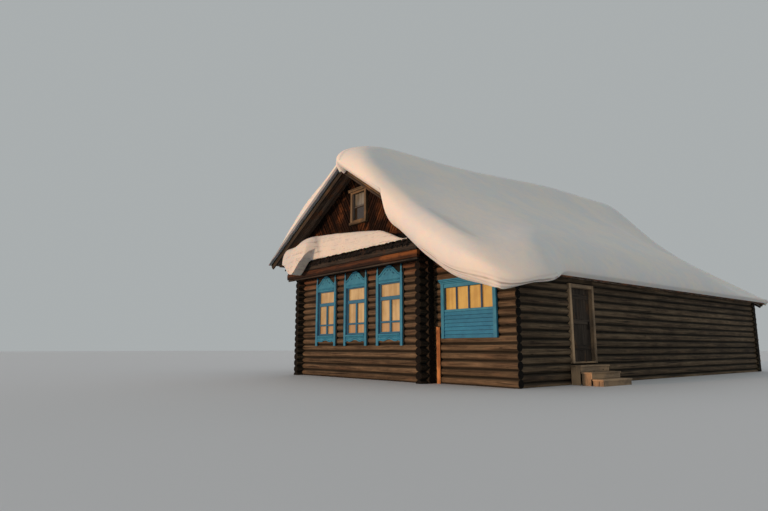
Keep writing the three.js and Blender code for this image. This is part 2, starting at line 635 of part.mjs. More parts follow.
// Thin snow on the left slope, up to the heavy blanket's edge
function leftSnow() {
  const reach = THIN_REACH;
  const eave = LEFT_EAVE - 4;
  const tip = eave - reach.eave;
  const right = SNOW.left - GAP;
  const [frontTip, backTip] = [frontEdge - reach.front, backEdge + reach.front];
  const full = (x) => roofTop(x) + THIN_SNOW.depth + change(THIN_SNOW.gain, x);
  const bottom = (x, y) => roofTop(x) + GAP + (y < frontEdge || y > backEdge || x < eave ? reach.lift : 0);
  const top = (x, y) => {
    const front = nose(1 - (y - frontTip) / (reach.round + reach.front), 2.4);
    const back = nose(1 - (backTip - y) / (reach.round + reach.front), 2.4);
    const side = nose(1 - (x - tip) / THIN_SNOW.round, 2.4);
    return bottom(x, y) + (full(x) - bottom(x, y)) * front * back * side + SKIN;
  };
  const columns = [
    tip, tip + 8, tip + 25, eave, LEFT_EAVE, -4150, -3600, -2800, -1900, -1000, -400, right - 5, right,
  ];
  const rows = [
    ...between(frontTip, frontEdge, [0, 0.04, 0.25, 0.99, 1]), 0, 3000, 7500, 11500, backEdge - 400,
    ...between(backEdge, backTip, [0, 0.01, 0.75, 0.96, 1]),
  ];
  addPiece(house, 'snow_left', blanket(fixed(columns), fixed(rows), top, bottom), COLOURS.snow);
}

function pentSnow() {
  const { left, right, depth, rise, frontReach: reach, lip } = PENT_SNOW;
  const edge = -PENT_BOARDS.reach - GAP;
  const head = GABLE.front - 2 * GAP;
  const inLump = (x) => 1 - change(LUMP.end, x);
  const tipAt = (x) => edge - reach - change(LUMP.reach, x) * inLump(x);
  const bottom = (x, y) => {
    const hang = lip + change({ from: edge, to: edge - 40, amount: change(LUMP.hang, x) * inLump(x) }, y);
    return pentTop(Math.max(y, edge)) + GAP - (y < edge ? hang : 0);
  };
  const full = (x, y) => {
    const lost = PENT_LOSSES.reduce((sum, loss) => sum + change(loss, x), 0);
    return pentTop(edge) + depth + lost + Math.max(0, y - edge) * rise;
  };
  const top = (x, y) => {
    const ends = nose(1 - (x - left) / PENT_ROUND.ends, 2.8) * nose(1 - (right - x) / PENT_ROUND.ends, 2.2);
    const front = nose(1 - (y - tipAt(x)) / (edge + PENT_ROUND.front - tipAt(x)), 2.8);
    const low = bottom(x, y);
    return low + Math.max(0, full(x, y) - low) * ends * front + SKIN;
  };
  const columns = [
    ...between(left, left + PENT_ROUND.ends, [0, 0.025, 0.3, 1]), -2900, -2600, -2250, -2080, -1960, -1829,
    -1300, -500, 300, 1100, 1350, 1600, 1914, 2400,
    ...between(right, right - PENT_ROUND.ends, [0.3, 0.04, 0]),
  ];
  const rows = [
    ...[1, 0.94, 0.7, 0.25, 0.005].map((share) => (x) => edge + share * (tipAt(x) - edge)),
    ...fixed(between(edge, head, [0, 0.12, 0.25, 0.6, 0.97, 1])),
  ];
  addPiece(house, 'snow_pent', blanket(fixed(columns), rows, top, bottom), COLOURS.snow);
}

streetWall();
backWall();
sideWalls();
annexFront();
floors();
const streetFrame = wallFrame(0, 0, 0);
gable('street_gable', streetFrame, 1, true);
gable('back_gable', wallFrame(0, HOUSE_LENGTH, 180), -1, false);
atticWindow(streetFrame);
roof();
pentRoof();
STREET_WINDOWS.forEach((centre, k) => carvedWindow('street_window_' + (k + 1), streetFrame, centre));
const sideFrame = wallFrame(-CABIN_HALF, 0, -90);
SIDE_WINDOWS.forEach((along, k) => carvedWindow('side_window_' + (k + 1), sideFrame, -along));
annexWindow();
cornerBoard();
yardDoor();
rightSnow();
leftSnow();
pentSnow();

// The origin goes under the middle of the whole house, at ground level
house.updateMatrixWorld(true);
const extent = new THREE.Box3().setFromObject(house, true);
house.position.set(-(extent.min.x + extent.max.x) / 2, -(extent.min.y + extent.max.y) / 2, 0);

export default house;
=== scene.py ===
"""Log farmhouse under deep snow, dressed for rendering.

Every length is in metres. While a piece is made, X = 0 lies under the ridge, Y = 0 is the outer face of the
street front and Z = 0 is the ground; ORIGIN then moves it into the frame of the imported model.
"""

import logging
import math
from collections.abc import Callable, Sequence
from dataclasses import dataclass, field, replace
from enum import Enum
from functools import cached_property

import bpy
import numpy as np
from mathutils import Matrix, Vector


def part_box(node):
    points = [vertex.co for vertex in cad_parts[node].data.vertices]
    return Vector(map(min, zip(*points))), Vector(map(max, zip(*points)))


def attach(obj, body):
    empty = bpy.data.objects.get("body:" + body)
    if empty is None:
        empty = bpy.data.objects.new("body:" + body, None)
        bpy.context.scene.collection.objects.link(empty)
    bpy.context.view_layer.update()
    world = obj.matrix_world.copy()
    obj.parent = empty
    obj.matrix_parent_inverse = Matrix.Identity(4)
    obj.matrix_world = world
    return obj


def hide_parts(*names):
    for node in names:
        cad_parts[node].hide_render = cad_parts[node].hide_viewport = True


LOG = logging.getLogger("farmhouse")
Array = np.ndarray
Span = tuple[float, float]
Hole = tuple[float, float, float, float]
Colour = tuple[float, float, float]
Cut = Callable[[Array], tuple[Array, Array]]
Material = bpy.types.Material

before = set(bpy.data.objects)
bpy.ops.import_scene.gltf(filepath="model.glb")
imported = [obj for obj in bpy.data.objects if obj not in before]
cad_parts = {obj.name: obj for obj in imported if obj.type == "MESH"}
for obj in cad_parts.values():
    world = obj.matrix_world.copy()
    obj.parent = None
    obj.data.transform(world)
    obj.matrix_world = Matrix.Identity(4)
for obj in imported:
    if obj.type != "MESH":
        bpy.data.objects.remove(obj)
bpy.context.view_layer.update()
GAP = 0.0003  # between pieces that touch
ORIGIN = np.array([
    (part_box("ridge_beam")[0].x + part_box("ridge_beam")[1].x) / 2,
    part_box("cabin_floor")[0].y - 0.2 - GAP,
    0.0,
])

COURSE = 0.195  # height of a course of logs
LOG_RADIUS = 0.11
WALL = 0.2
CABIN_HALF = 3.08
ANNEX_RIGHT = 5.55
ANNEX_FRONT = 0.28
HOUSE_LENGTH = 14.8
WALL_TOP = 19 * COURSE
FLOOR_TOP = 0.5
RIDGE_TOP = 6.33
LEFT_SLOPE = math.tan(math.radians(30.2))
RIGHT_SLOPE = math.tan(math.radians(33))
ROOF_DROP = 0.07  # upright depth of the roof boards
LEFT_EAVE = -4.38
RIGHT_EAVE = 5.78
VERGE = 0.45
RAKE_THICK = 0.03
FRONT_EDGE = -VERGE - RAKE_THICK - 2 * GAP
BACK_EDGE = HOUSE_LENGTH - FRONT_EDGE
GRAIN_JUMP = 17.3  # how far apart two boards lie in the grain
MOST_COURSES = 40
HEWN_TURN = 1.7  # radians round a log to its hewn side
STREET_WINDOWS = (-1.5, 0.06, 1.62)
SIDE_WINDOWS = (2.0, 4.6)


def roof_top(x: Array) -> Array:
    """Height of the roof boards' upper face at x."""
    return RIDGE_TOP + np.minimum(x * LEFT_SLOPE, -x * RIGHT_SLOPE)


def roof_under(x: Array) -> Array:
    """Height of the roof boards' lower face at x."""
    return roof_top(x) - ROOF_DROP


def smooth(t: Array) -> Array:
    """A soft step, 3 t^2 - 2 t^3, held at 0 below t = 0 and at 1 above t = 1."""
    s = np.clip(t, 0.0, 1.0)
    return s * s * (3 - 2 * s)


def nose(q: Array, power: float) -> Array:
    """The rounded fall of an edge, the root of 1 - q^power: 1 while q < 0 and 0 where q reaches 1."""
    return np.sqrt(np.maximum(0.0, 1 - np.maximum(q, 0.0) ** power))


def ripple(p: Array, q: Array, seed: int) -> Array:
    """A soft uneven field from -1 to 1: the mean of five plane waves with seeded directions and phases.

    Args:
        p: first coordinate, already divided by the wanted wavelength.
        q: second coordinate, divided likewise.
        seed: picks the set of waves.

    Returns:
        The field's value at each point.
    """
    rng = np.random.default_rng(seed)
    turn, phase, pitch = rng.uniform(0, 2 * np.pi, (2, 5)).tolist() + [rng.uniform(0.6, 1.6, 5).tolist()]
    total = np.zeros(np.broadcast(p, q).shape)
    for a, b, k in zip(turn, phase, pitch):
        total = total + np.sin(2 * np.pi * k * (p * math.cos(a) + q * math.sin(a)) + b)
    return total / 5


def bump(p: Array, middle: float, width: float) -> Array:
    """A round rise, e to the power -((p - middle) / width)^2."""
    return np.exp(-(((p - middle) / width) ** 2))


def stack(*parts: Array | float) -> Array:
    """The parts brought to one shape and put side by side along a new last axis."""
    return np.stack(np.broadcast_arrays(*parts), axis=-1)


def rising(*parts: Sequence[float]) -> Array:
    """All the stations in rising order, each one once."""
    return np.unique(np.concatenate(parts))


def slanted(low: float, low_rate: float, high: float, high_rate: float) -> Cut:
    """A board's cut whose ends lie at low + low_rate a and high + high_rate a, for offsets a across it."""
    return lambda a: (low + low_rate * a, high + high_rate * a)


def arc_in(first: float, last: float, count: int) -> Array:
    """Stations that crowd towards first: last + (first - last) cos a over a quarter turn."""
    return last + (first - last) * np.cos(np.linspace(0, np.pi / 2, count))


@dataclass(frozen=True)
class Change:
    """An amount that comes in by a soft step between two places."""

    start: float  # where it is still 0
    stop: float  # where it is whole
    amount: float = 1.0  # the whole of it

    def at(self, p: Array) -> Array:
        """The amount at p."""
        return self.amount * smooth((p - self.start) / (self.stop - self.start))


@dataclass(frozen=True)
class Wall:
    """A wall's own axes: u along it as seen from outside, v up, w outwards."""

    x: float  # where u = 0 lies
    y: float  # where w = 0 lies
    turn: float  # degrees by which u is turned from +X
    u0: float = 0.0  # offsets added to u, v and w
    v0: float = 0.0
    w0: float = 0.0

    def at(self, u: Array, v: Array, w: Array) -> Array:
        """Points in house axes: (x, y) + u (cos, sin) + w (sin, -cos) of the turn, at height v.

        Args:
            u: places along it.
            v: heights.
            w: distances out of it.

        Returns:
            The points, on a new last axis.
        """
        c, s = math.cos(math.radians(self.turn)), math.sin(math.radians(self.turn))
        u, v, w = u + self.u0, v + self.v0, w + self.w0
        return stack(self.x + u * c + w * s, self.y + u * s - w * c, v)


STREET = Wall(0, 0, 0)
BACK = Wall(0, HOUSE_LENGTH, 180)
LEFT = Wall(-CABIN_HALF, 0, -90)
MIDDLE = Wall(CABIN_HALF, 0, 90)
RIGHT = Wall(ANNEX_RIGHT, 0, 90)
ANNEX = Wall(0, ANNEX_FRONT, 0)


@dataclass
class Solid:
    """A mesh made of closed surfaces. Each face corner keeps where it lies along and across the grain."""

    points: list[Array] = field(default_factory=list)  # vertices of each surface
    # Per group of faces, their corners' vertex numbers, grain values and material slot.
    faces: list[tuple[Array, Array, int]] = field(default_factory=list)
    count: int = 0
    painted: int = 0  # groups of faces whose slot is settled

    def add(self, points: Array, faces: Sequence[tuple[Array, Array, int]]) -> None:
        """Takes in one closed surface, turned so that it faces outwards.

        The volume is the sum over fans of each face of p0 . (p1 x p2) / 6; where it is negative every face
        is reversed.

        Args:
            points: vertices, one row each.
            faces: groups of (corner numbers, grain at each corner, slot).
        """
        volume = 0.0
        for index, _, _ in faces:
            p = points[index]
            volume += np.einsum("fi,fki->", p[:, 0], np.cross(p[:, 1:-1], p[:, 2:])) / 6
        for index, grain, slot in faces:
            step = 1 if volume > 0 else -1
            self.faces.append((index[:, ::step] + self.count, grain[:, ::step], slot))
        self.points.append(points)
        self.count += len(points)

    def paint(self, slot: int) -> None:
        """Gives a material slot to everything added since the last call."""
        self.faces[self.painted:] = [(f, g, slot) for f, g, _ in self.faces[self.painted:]]
        self.painted = len(self.faces)

    @staticmethod
    def quads(index: Array, grain: Array, slot: int = 0) -> tuple[Array, Array, int]:
        """Faces between neighbouring rows and columns of a grid of vertex numbers.

        Args:
            index: vertex numbers.
            grain: grain values at them.
            slot: material slot.

        Returns:
            Corner numbers, grain at each corner, and the slot.
        """
        def corners(a: Array) -> Array:
            """The four corners of each cell, in order round it."""
            cells = np.stack([a[:-1, :-1], a[:-1, 1:], a[1:, 1:], a[1:, :-1]], axis=2)
            return cells.reshape(-1, 4, *a.shape[2:])
        return corners(index), corners(grain), slot

    def tube(self, rings: Array, grain: Array, ends: Array, slots: tuple[int, int] = (0, 0)) -> None:
        """Adds a profile carried along a path, closed by a face at each end.

        Args:
            rings: the profile's points at each station, stations x corners x 3.
            grain: grain values, stations x (corners + 1) x 3, the last column closing the profile.
            ends: grain values on the end faces, corners x 3 for both or 2 x corners x 3.
            slots: material slots of the sides and of the ends.
        """
        k, n = rings.shape[:2]
        index = np.arange(k * n).reshape(k, n)
        around, ends = np.concatenate([index, index[:, :1]], axis=1), np.broadcast_to(ends, (2, n, 3))
        self.add(rings.reshape(-1, 3), [
            self.quads(around, grain, slots[0]),
            (index[:1, ::-1], ends[:1, ::-1], slots[1]),
            (index[-1:], ends[1:], slots[1]),
        ])

    def shell(self, front: Array, back: Array, grain: Array, marks: Array | None = None) -> None:
        """Adds two sheets over the same grid, joined along their four edges.

        Args:
            front: the outer sheet, rows x columns x 3.
            back: the inner sheet, of the same shape.
            grain: grain values at each grid point.
            marks: grid points whose cells on the outer sheet take slot 1, or None.
        """
        rows, columns = front.shape[:2]
        index = np.arange(rows * columns).reshape(rows, columns)
        rim = np.concatenate([index[0, :-1], index[:-1, -1], index[-1, :0:-1], index[:0:-1, 0]])
        ahead, shift = np.roll(rim, -1), rows * columns
        flat = grain.reshape(-1, 3)
        faces, values, _ = self.quads(index, grain)
        dark = np.zeros(len(faces), bool) if marks is None else marks.ravel()[faces].sum(axis=1) >= 3
        round_it = np.stack([ahead, rim, rim, ahead], axis=1)
        self.add(np.concatenate([front.reshape(-1, 3), back.reshape(-1, 3)]), [
            (faces[~dark], values[~dark], 0),
            (faces[dark], values[dark], 1),
            (faces[:, ::-1] + shift, values[:, ::-1], 0),
            (round_it + [0, 0, shift, shift], flat[round_it], 0),
        ])

    def plank(self, start: Array, end: Array, across: Array, width: float, thick: float, seed: float,
              bevel: float = 0.004, stations: int = 2, bow: float = 0.0,
              cut: Cut | None = None) -> None:
        """Adds a board: a rectangle with chamfered corners carried along a straight or slightly bowed line.

        Args:
            start: middle of the first end.
            end: middle of the other end.
            across: direction of the board's width, of length 1.
            width: size along across.
            thick: size along the third direction.
            seed: picks this board's place in the grain and its tone.
            bevel: size of the chamfer.
            stations: number of sections.
            bow: how far the middle stands off the line, along the third direction.
            cut: gives, for offsets across the width, how far along the board both ends lie.
        """
        start, end, across = (np.asarray(a, float) for a in (start, end, across))
        length = float(np.linalg.norm(end - start))
        way = (end - start) / length
        normal = np.cross(way, across)
        a, b = width / 2, thick / 2
        c = min(bevel, a * 0.45, b * 0.45)
        side = np.array([-a + c, a - c, a, a, a - c, -a + c, -a, -a])
        out = np.array([-b, -b, -b + c, b - c, b, b, b - c, -b + c])
        low, high = (np.zeros(8), np.full(8, length)) if cut is None else cut(side)
        s = np.linspace(0, 1, stations)[:, None]
        t = low + s * (high - low)
        lift = out + bow * np.sin(np.pi * s)
        rings = start + t[..., None] * way + side[:, None] * across + lift[..., None] * normal
        wrap = np.append(np.arange(8), 0)
        grain = stack(t[:, wrap] + seed * GRAIN_JUMP, (side + out * 0.8)[wrap], seed)
        self.tube(rings, grain, stack(out * 0.6 + seed, side, seed))

    def bar(self, wall: Wall, u: Span, v: Span, w: Span, seed: float, bevel: float = 0.004) -> None:
        """Adds a straight bar between two corners in a wall's axes, its grain along the longer of u and v.

        Args:
            wall: the axes.
            u: its two ends or sides along the wall.
            v: its heights.
            w: its back and its face.
            seed: picks its place in the grain and its tone.
            bevel: size of the chamfer.
        """
        wide, tall, deep = (abs(b - a) for a, b in (u, v, w))
        mu, mv, mw = ((a + b) / 2 for a, b in (u, v, w))
        lying = wide > tall
        start, end = (wall.at(u[k], mv, mw) if lying else wall.at(mu, v[k], mw) for k in (0, 1))
        across = wall.at(0, 1, 0) if lying else wall.at(1, 0, 0)
        self.plank(start, end, across - wall.at(0, 0, 0), min(wide, tall), deep, seed, bevel)

    def pair(self, wall: Wall, u: Span, v: Span, w: Span, seed: float, bevel: float = 0.004) -> None:
        """Adds a bar on the right and its mirror image on the left."""
        for side in (-1.0, 1.0):
            self.bar(wall, (side * u[0], side * u[1]), v, w, seed + side, bevel)

    def make(self, name: str, slot: str, finishes: "Sequence[Finish]", replaces: str,
             sharp: float = 40.0) -> None:
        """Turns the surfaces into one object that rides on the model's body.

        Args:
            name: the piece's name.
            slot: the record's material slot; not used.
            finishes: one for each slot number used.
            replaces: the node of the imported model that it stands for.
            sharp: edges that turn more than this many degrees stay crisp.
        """
        mesh = bpy.data.meshes.new(name)
        faces = [corners for index, _, _ in self.faces for corners in index.tolist()]
        mesh.from_pydata((np.concatenate(self.points) + ORIGIN).tolist(), [], faces)
        grain = np.concatenate([g.reshape(-1, 3) for _, g, _ in self.faces])
        slots = np.concatenate([np.full(len(f), s) for f, _, s in self.faces])
        mesh.polygons.foreach_set("material_index", slots.astype(np.int32))
        marks = mesh.attributes.new("grain", "FLOAT_VECTOR", "CORNER")
        marks.data.foreach_set("vector", grain.ravel().astype(np.float32))
        mesh.shade_smooth()
        mesh.set_sharp_from_angle(angle=math.radians(sharp))
        for finish in finishes:
            mesh.materials.append(finish.material)
        piece = bpy.data.objects.new(name, mesh)
        bpy.context.scene.collection.objects.link(piece)
        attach(piece, "root")
        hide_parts(replaces)
        LOG.info("%s: %d faces", name, len(faces))


def operator(operation: str, swapped: bool = False) -> "Callable[..., Wire]":
    """A method that adds a Math node on its socket and more values, in turned order where it is reflected.

    Args:
        operation: the node's operation.
        swapped: whether the socket comes last.

    Returns:
        The method.
    """
    def apply(self: "Wire", *others: "Wire | float") -> "Wire":
        """The node's result."""
        return self.recipe.math(operation, *((*others, self) if swapped else (self, *others)))
    return apply


class Wire:
    """A shader socket that takes part in Python sums. Each operator adds its Math node."""

    __add__ = __radd__ = operator("ADD")
    __mul__ = __rmul__ = operator("MULTIPLY")
    __sub__, __rsub__ = operator("SUBTRACT"), operator("SUBTRACT", swapped=True)
    __truediv__ = operator("DIVIDE")
    __abs__ = operator("ABSOLUTE")

    def __init__(self, recipe: "Recipe", socket: bpy.types.NodeSocket) -> None:
        """Keeps the socket and the recipe that it belongs to."""
        self.recipe = recipe
        self.socket = socket

    def math(self, operation: str, *values: "Wire | float") -> "Wire":
        """A Math node on this socket and more values."""
        return self.recipe.math(operation, self, *values)

    def step(self, low: float, high: float) -> "Wire":
        """A soft step from 0 at low to 1 at high; it falls where low is the greater."""
        return self.recipe.wire("ShaderNodeMapRange", {"interpolation_type": "SMOOTHSTEP"},
                                {"Value": self, "From Min": low, "From Max": high})


class Recipe:
    """Writes the nodes of one material."""

    def __init__(self, name: str) -> None:
        """Starts an empty material with a Principled shader.

        Args:
            name: the material's name.
        """
        self.material = bpy.data.materials.new(name)
        self.material.use_nodes = True
        self.tree = self.material.node_tree
        self.tree.nodes.clear()
        self.shader = self.node("ShaderNodeBsdfPrincipled", {}, {})
        output = self.node("ShaderNodeOutputMaterial", {}, {})
        self.tree.links.new(self.shader.outputs[0], output.inputs[0])

    def connect(self, node: bpy.types.Node, inputs: dict) -> None:
        """Gives each named or numbered socket of a node its value, colour or Wire.

        Args:
            node: the node.
            inputs: what each socket gets.
        """
        for key, value in inputs.items():
            if isinstance(value, Wire):
                self.tree.links.new(value.socket, node.inputs[key])
            elif isinstance(value, tuple) and node.inputs[key].type == "RGBA":
                node.inputs[key].default_value = (*value, 1.0)
            else:
                node.inputs[key].default_value = value

    def node(self, kind: str, settings: dict, inputs: dict) -> bpy.types.Node:
        """Adds a node.

        Args:
            kind: the node's type.
            settings: values of its own, set first.
            inputs: a value, colour or Wire for each named or numbered socket.

        Returns:
            The node.
        """
        node = self.tree.nodes.new(kind)
        for key, value in settings.items():
            setattr(node, key, value)
        self.connect(node, inputs)
        return node

    def wire(self, kind: str, settings: dict, inputs: dict, output: int | str = 0) -> Wire:
        """One output of a new node."""
        return Wire(self, self.node(kind, settings, inputs).outputs[output])

    def math(self, operation: str, *values: Wire | float) -> Wire:
        """A Math node on up to three values."""
        return self.wire("ShaderNodeMath", {"operation": operation}, dict(enumerate(values)))

    def split(self, vector: Wire) -> list[Wire]:
        """The three parts of a vector."""
        return [Wire(self, part) for part in self.node("ShaderNodeSeparateXYZ", {}, {0: vector}).outputs]

    def join(self, *parts: Wire | float) -> Wire:
        """A vector from three parts."""
        return self.wire("ShaderNodeCombineXYZ", {}, dict(enumerate(parts)))

    def place(self) -> Wire:
        """The point's place on the object, in metres."""
        return self.wire("ShaderNodeTexCoord", {}, {}, "Object")

    def grain(self) -> Wire:
        """The point's place along and across the grain, and its board's own number."""
        return self.wire("ShaderNodeAttribute", {"attribute_name": "grain"}, {}, "Vector")

    def noise(self, vector: Wire, scale: float = 1.0, detail: float = 3.0, rough: float = 0.5) -> Wire:
        """Soft noise from 0 to 1 at a vector."""
        return self.wire("ShaderNodeTexNoise", {}, {
            "Vector": vector, "Scale": scale, "Detail": detail, "Roughness": rough})

    def streaks(self, parts: Sequence[Wire], rates: Sequence[float], detail: float,
                rough: float = 0.5) -> Wire:
        """Noise over three parts, each stretched by its own rate."""
        return self.noise(self.join(*(part * rate for part, rate in zip(parts, rates))), 1.0, detail, rough)

    def cells(self, vector: Wire) -> Wire:
        """Distance to the nearest of many scattered points."""
        return self.wire("ShaderNodeTexVoronoi", {}, {"Vector": vector, "Scale": 1.0})

    def chance(self, value: Wire) -> Wire:
        """A number from 0 to 1 that jumps with each new value."""
        return self.wire("ShaderNodeTexWhiteNoise", {"noise_dimensions": "1D"}, {"W": value})

    def shade(self, tone: Wire, light: Wire) -> Wire:
        """A colour made darker or lighter by a factor."""
        return self.mix(1.0, tone, self.join(light, light, light), "MULTIPLY")

    def mix(self, share: Wire | float, first: Wire | Colour, second: Wire | Colour,
            blend: str = "MIX") -> Wire:
        """Two colours mixed, the second's share growing from 0 to 1."""
        return self.wire("ShaderNodeMix", {"data_type": "RGBA", "blend_type": blend},
                         {0: share, 6: first, 7: second}, 2)

    def finish(self, colour: Wire | Colour, roughness: Wire | float, height: Wire | None = None,
               depth: float = 0.002, strength: float = 0.6, **constants: float) -> Material:
        """Joins the patterns to the shader.

        Args:
            colour: base colour.
            roughness: from 0 to 1.
            height: relief from 0 to 1, or None for a smooth surface.
            depth: how tall a relief of 1 is.
            strength: how strongly the relief shades.
            constants: plain values for other sockets, with spaces written as underscores.

        Returns:
            The finished material.
        """
        wires = {key.replace("_", " "): value for key, value in constants.items()}
        if height is not None:
            wires["Normal"] = self.wire("ShaderNodeBump", {}, {
                "Height": height, "Distance": depth, "Strength": strength})
        self.connect(self.shader, {"Base Color": colour, "Roughness": roughness, **wires})
        return self.material


class Follow(Enum):
    """What a wood pattern follows."""

    BOARD = "each board's own grain"
    ALONG_Y = "boards laid along the house"


@dataclass(frozen=True)
class Fibres:
    """The grain of a wood: noise drawn out along it, bent by a slow drift across it."""

    drift: Span = (1.3, 6.0)  # rates along and across
    # Fibres, bands and cracks, each as (rate along, across, by board, drift, detail, roughness).
    layers: tuple[tuple[float, ...], ...] = (
        (2.4, 90.0, 7.7, 0.02, 4.0, 0.65), (0.8, 17.0, 5.3, 0.03, 3.0, 0.55),
        (0.9, 46.0, 3.1, 0.02, 3.0, 0.6))
    knots: Span = (1.6, 4.5)  # likewise

    def draw(self, r: Recipe, grain: Sequence[Wire]) -> tuple[Wire, ...]:
        """Fibres, bands and cracks from 0 to 1, and the distance to the nearest knot.

        Args:
            r: the material's recipe.
            grain: the place along and across the grain, and the board's number.

        Returns:
            The four patterns.
        """
        along, across, seed = grain
        drift = r.streaks(grain, (*self.drift, 9.1), 2.0) - 0.5
        layers = []
        for k, (a, b, c, bend, detail, rough) in enumerate(self.layers):
            board = seed * c + (40.0 if k == 2 else 0.0)
            layers.append(r.noise(r.join(along * a, (across + drift * bend) * b, board), 1.0, detail, rough))
        a, b = self.knots
        return (*layers, r.cells(r.join(along * a, across * b, seed * 11.0)))


@dataclass(frozen=True)
class Wood:
    """Bare weathered wood: streaked fibres, open cracks, knots, and a tone for each board."""

    name: str
    pale: Colour
    dark: Colour
    warm: Colour  # colour in patches out of the weather
    patch: float = 0.3  # share in that colour
    crack: float = 0.5  # how much is cracked
    spread: float = 0.35  # how far boards differ in brightness
    follow: Follow = Follow.BOARD
    board: float = 0.16  # a board's width where the pattern draws them
    shade_below: Span | None = None  # heights between which painted shade darkens the lower side
    fresh: Span | None = None  # x between which the warm colour takes over
    gloss: float = 0.25

    def make(self) -> Material:
        """Builds the material.

        Returns:
            The material.
        """
        r = Recipe(self.name)
        place = r.place()
        x, y, z = r.split(place)
        seam = None
        if self.follow is Follow.BOARD:
            grain = r.split(r.grain())
        else:
            lane = x / self.board
            seed = lane.math("FLOOR")
            seam = abs(lane - seed - 0.5).step(0.5, 0.47)
            grain = (y + seed * 3.7, x + z * 0.6, seed)
        fibre, band, split, knot = Fibres().draw(r, grain)
        crack = split.step(0.66 - 0.1 * self.crack, 0.72 - 0.07 * self.crack)
        eye = knot.step(0.11, 0.05)
        ring = (knot * 70.0).math("SINE") * knot.step(0.34, 0.1)
        weather = r.noise(place, 1.9, 4.0, 0.6)
        tone = r.mix((fibre * 0.65 + band * 0.6).step(0.38, 0.86), self.dark, self.pale)
        warmth = weather + band * 0.25
        if self.fresh:
            warmth = warmth + (x.step(*self.fresh) - 0.5) * 0.4
        tone = r.mix(warmth.step(0.78 - self.patch * 0.6, 0.9 - self.patch * 0.45), tone, self.warm)
        light = (r.chance(grain[2] + 0.37) - 0.5) * self.spread * 2.0 + 1.0 + ring * 0.12
        light = light * (1.0 - crack * 0.72) * (1.0 - eye * 0.6)
        if self.shade_below:
            # painted shade: the lower side darkened
            light = light * (1.0 - (z + (weather - 0.5) * 0.1).step(*self.shade_below) * 0.72)
        if seam is not None:
            light = light * seam
        height = fibre * 0.35 + band * 0.25 - crack * 0.8 - eye * 0.2 + 0.5
        return r.finish(r.shade(tone, light), 0.98 - fibre * 0.25, height, 0.006, 0.7,
                        Specular_IOR_Level=self.gloss)


@dataclass(frozen=True)
class LogWood:
    """Old round logs: long checks, grey weathering, seams dark with moss and painted shade, redder where the
    roof shelters them.
    """

    name: str = "weathered_logs"
    pale: Colour = (0.2, 0.142, 0.084)
    dark: Colour = (0.036, 0.021, 0.013)
    sheltered: Colour = (0.135, 0.048, 0.022)  # under the roof
    bright: Colour = (0.2, 0.085, 0.04)  # its fibres
    seam_moss_and_shade: Colour = (0.022, 0.018, 0.012)  # the seams: moss, with painted shade in the gaps between logs
    shelter: Span = (2.55, 3.15)  # heights between which it comes in
    corner_shade: Span = (2.02, 2.19)  # x between which painted shade darkens the corner stubs' sides
    corner_shade_depth: Span = (-6.93, -6.97)  # y between which that painted shade comes in
    fibres: Fibres = Fibres((0.9, 4.0), (
        (1.6, 70.0, 7.7, 0.05, 5.0, 0.68), (0.6, 14.0, 5.3, 0.05, 3.0, 0.6),
        (0.45, 30.0, 3.1, 0.04, 2.0, 0.55)), (1.1, 3.6))

    def make(self) -> Material:
        """Builds the material.

        Returns:
            The material.
        """
        r = Recipe(self.name)
        place = r.place()
        grain = r.split(r.grain())
        side, depth, level = r.split(place)
        fibre, band, split, knot = self.fibres.draw(r, grain)
        check = split.step(0.625, 0.67)
        eye = knot.step(0.09, 0.04)
        weather = r.noise(place, 1.3, 5.0, 0.62)
        blotch = r.streaks(grain, (2.6, 9.0, 2.2), 4.0, 0.6)
        tone = r.mix((fibre * 0.55 + band * 0.5 + weather * 0.2).step(0.42, 0.9), self.dark, self.pale)
        red = level.step(*self.shelter) * 0.85 + blotch.step(0.55, 0.75) * 0.2
        tone = r.mix(red.math("MINIMUM", 1.0), tone, r.mix(fibre, self.sheltered, self.bright))
        seam = (abs(grain[1]) + (blotch - 0.5) * 0.05).step(0.05, 0.084)
        # seams between logs: moss, with painted shade in the gaps
        tone = r.mix(seam * 0.85, tone, self.seam_moss_and_shade)
        light = (r.chance(grain[2] + 0.37) - 0.5) * 0.55 + 1.03
        light = light * (1.0 - check * 0.72) * (1.0 - eye * 0.65) * (0.34 + blotch * 1.3)
        # painted shade: the corner stubs' sides darkened, where the cabin's corner stands in shade
        corner_shaded = side.step(self.corner_shade[0] - 0.03, self.corner_shade[0]) * side.step(self.corner_shade[1] + 0.03, self.corner_shade[1])
        light = light * (1.0 - corner_shaded * depth.step(*self.corner_shade_depth) * 0.75)
        height = fibre * 0.3 + band * 0.3 - check * 0.9 - eye * 0.3 + 0.6
        return r.finish(r.shade(tone, light), 0.97 - fibre * 0.2, height, 0.012, 0.8, Specular_IOR_Level=0.2)


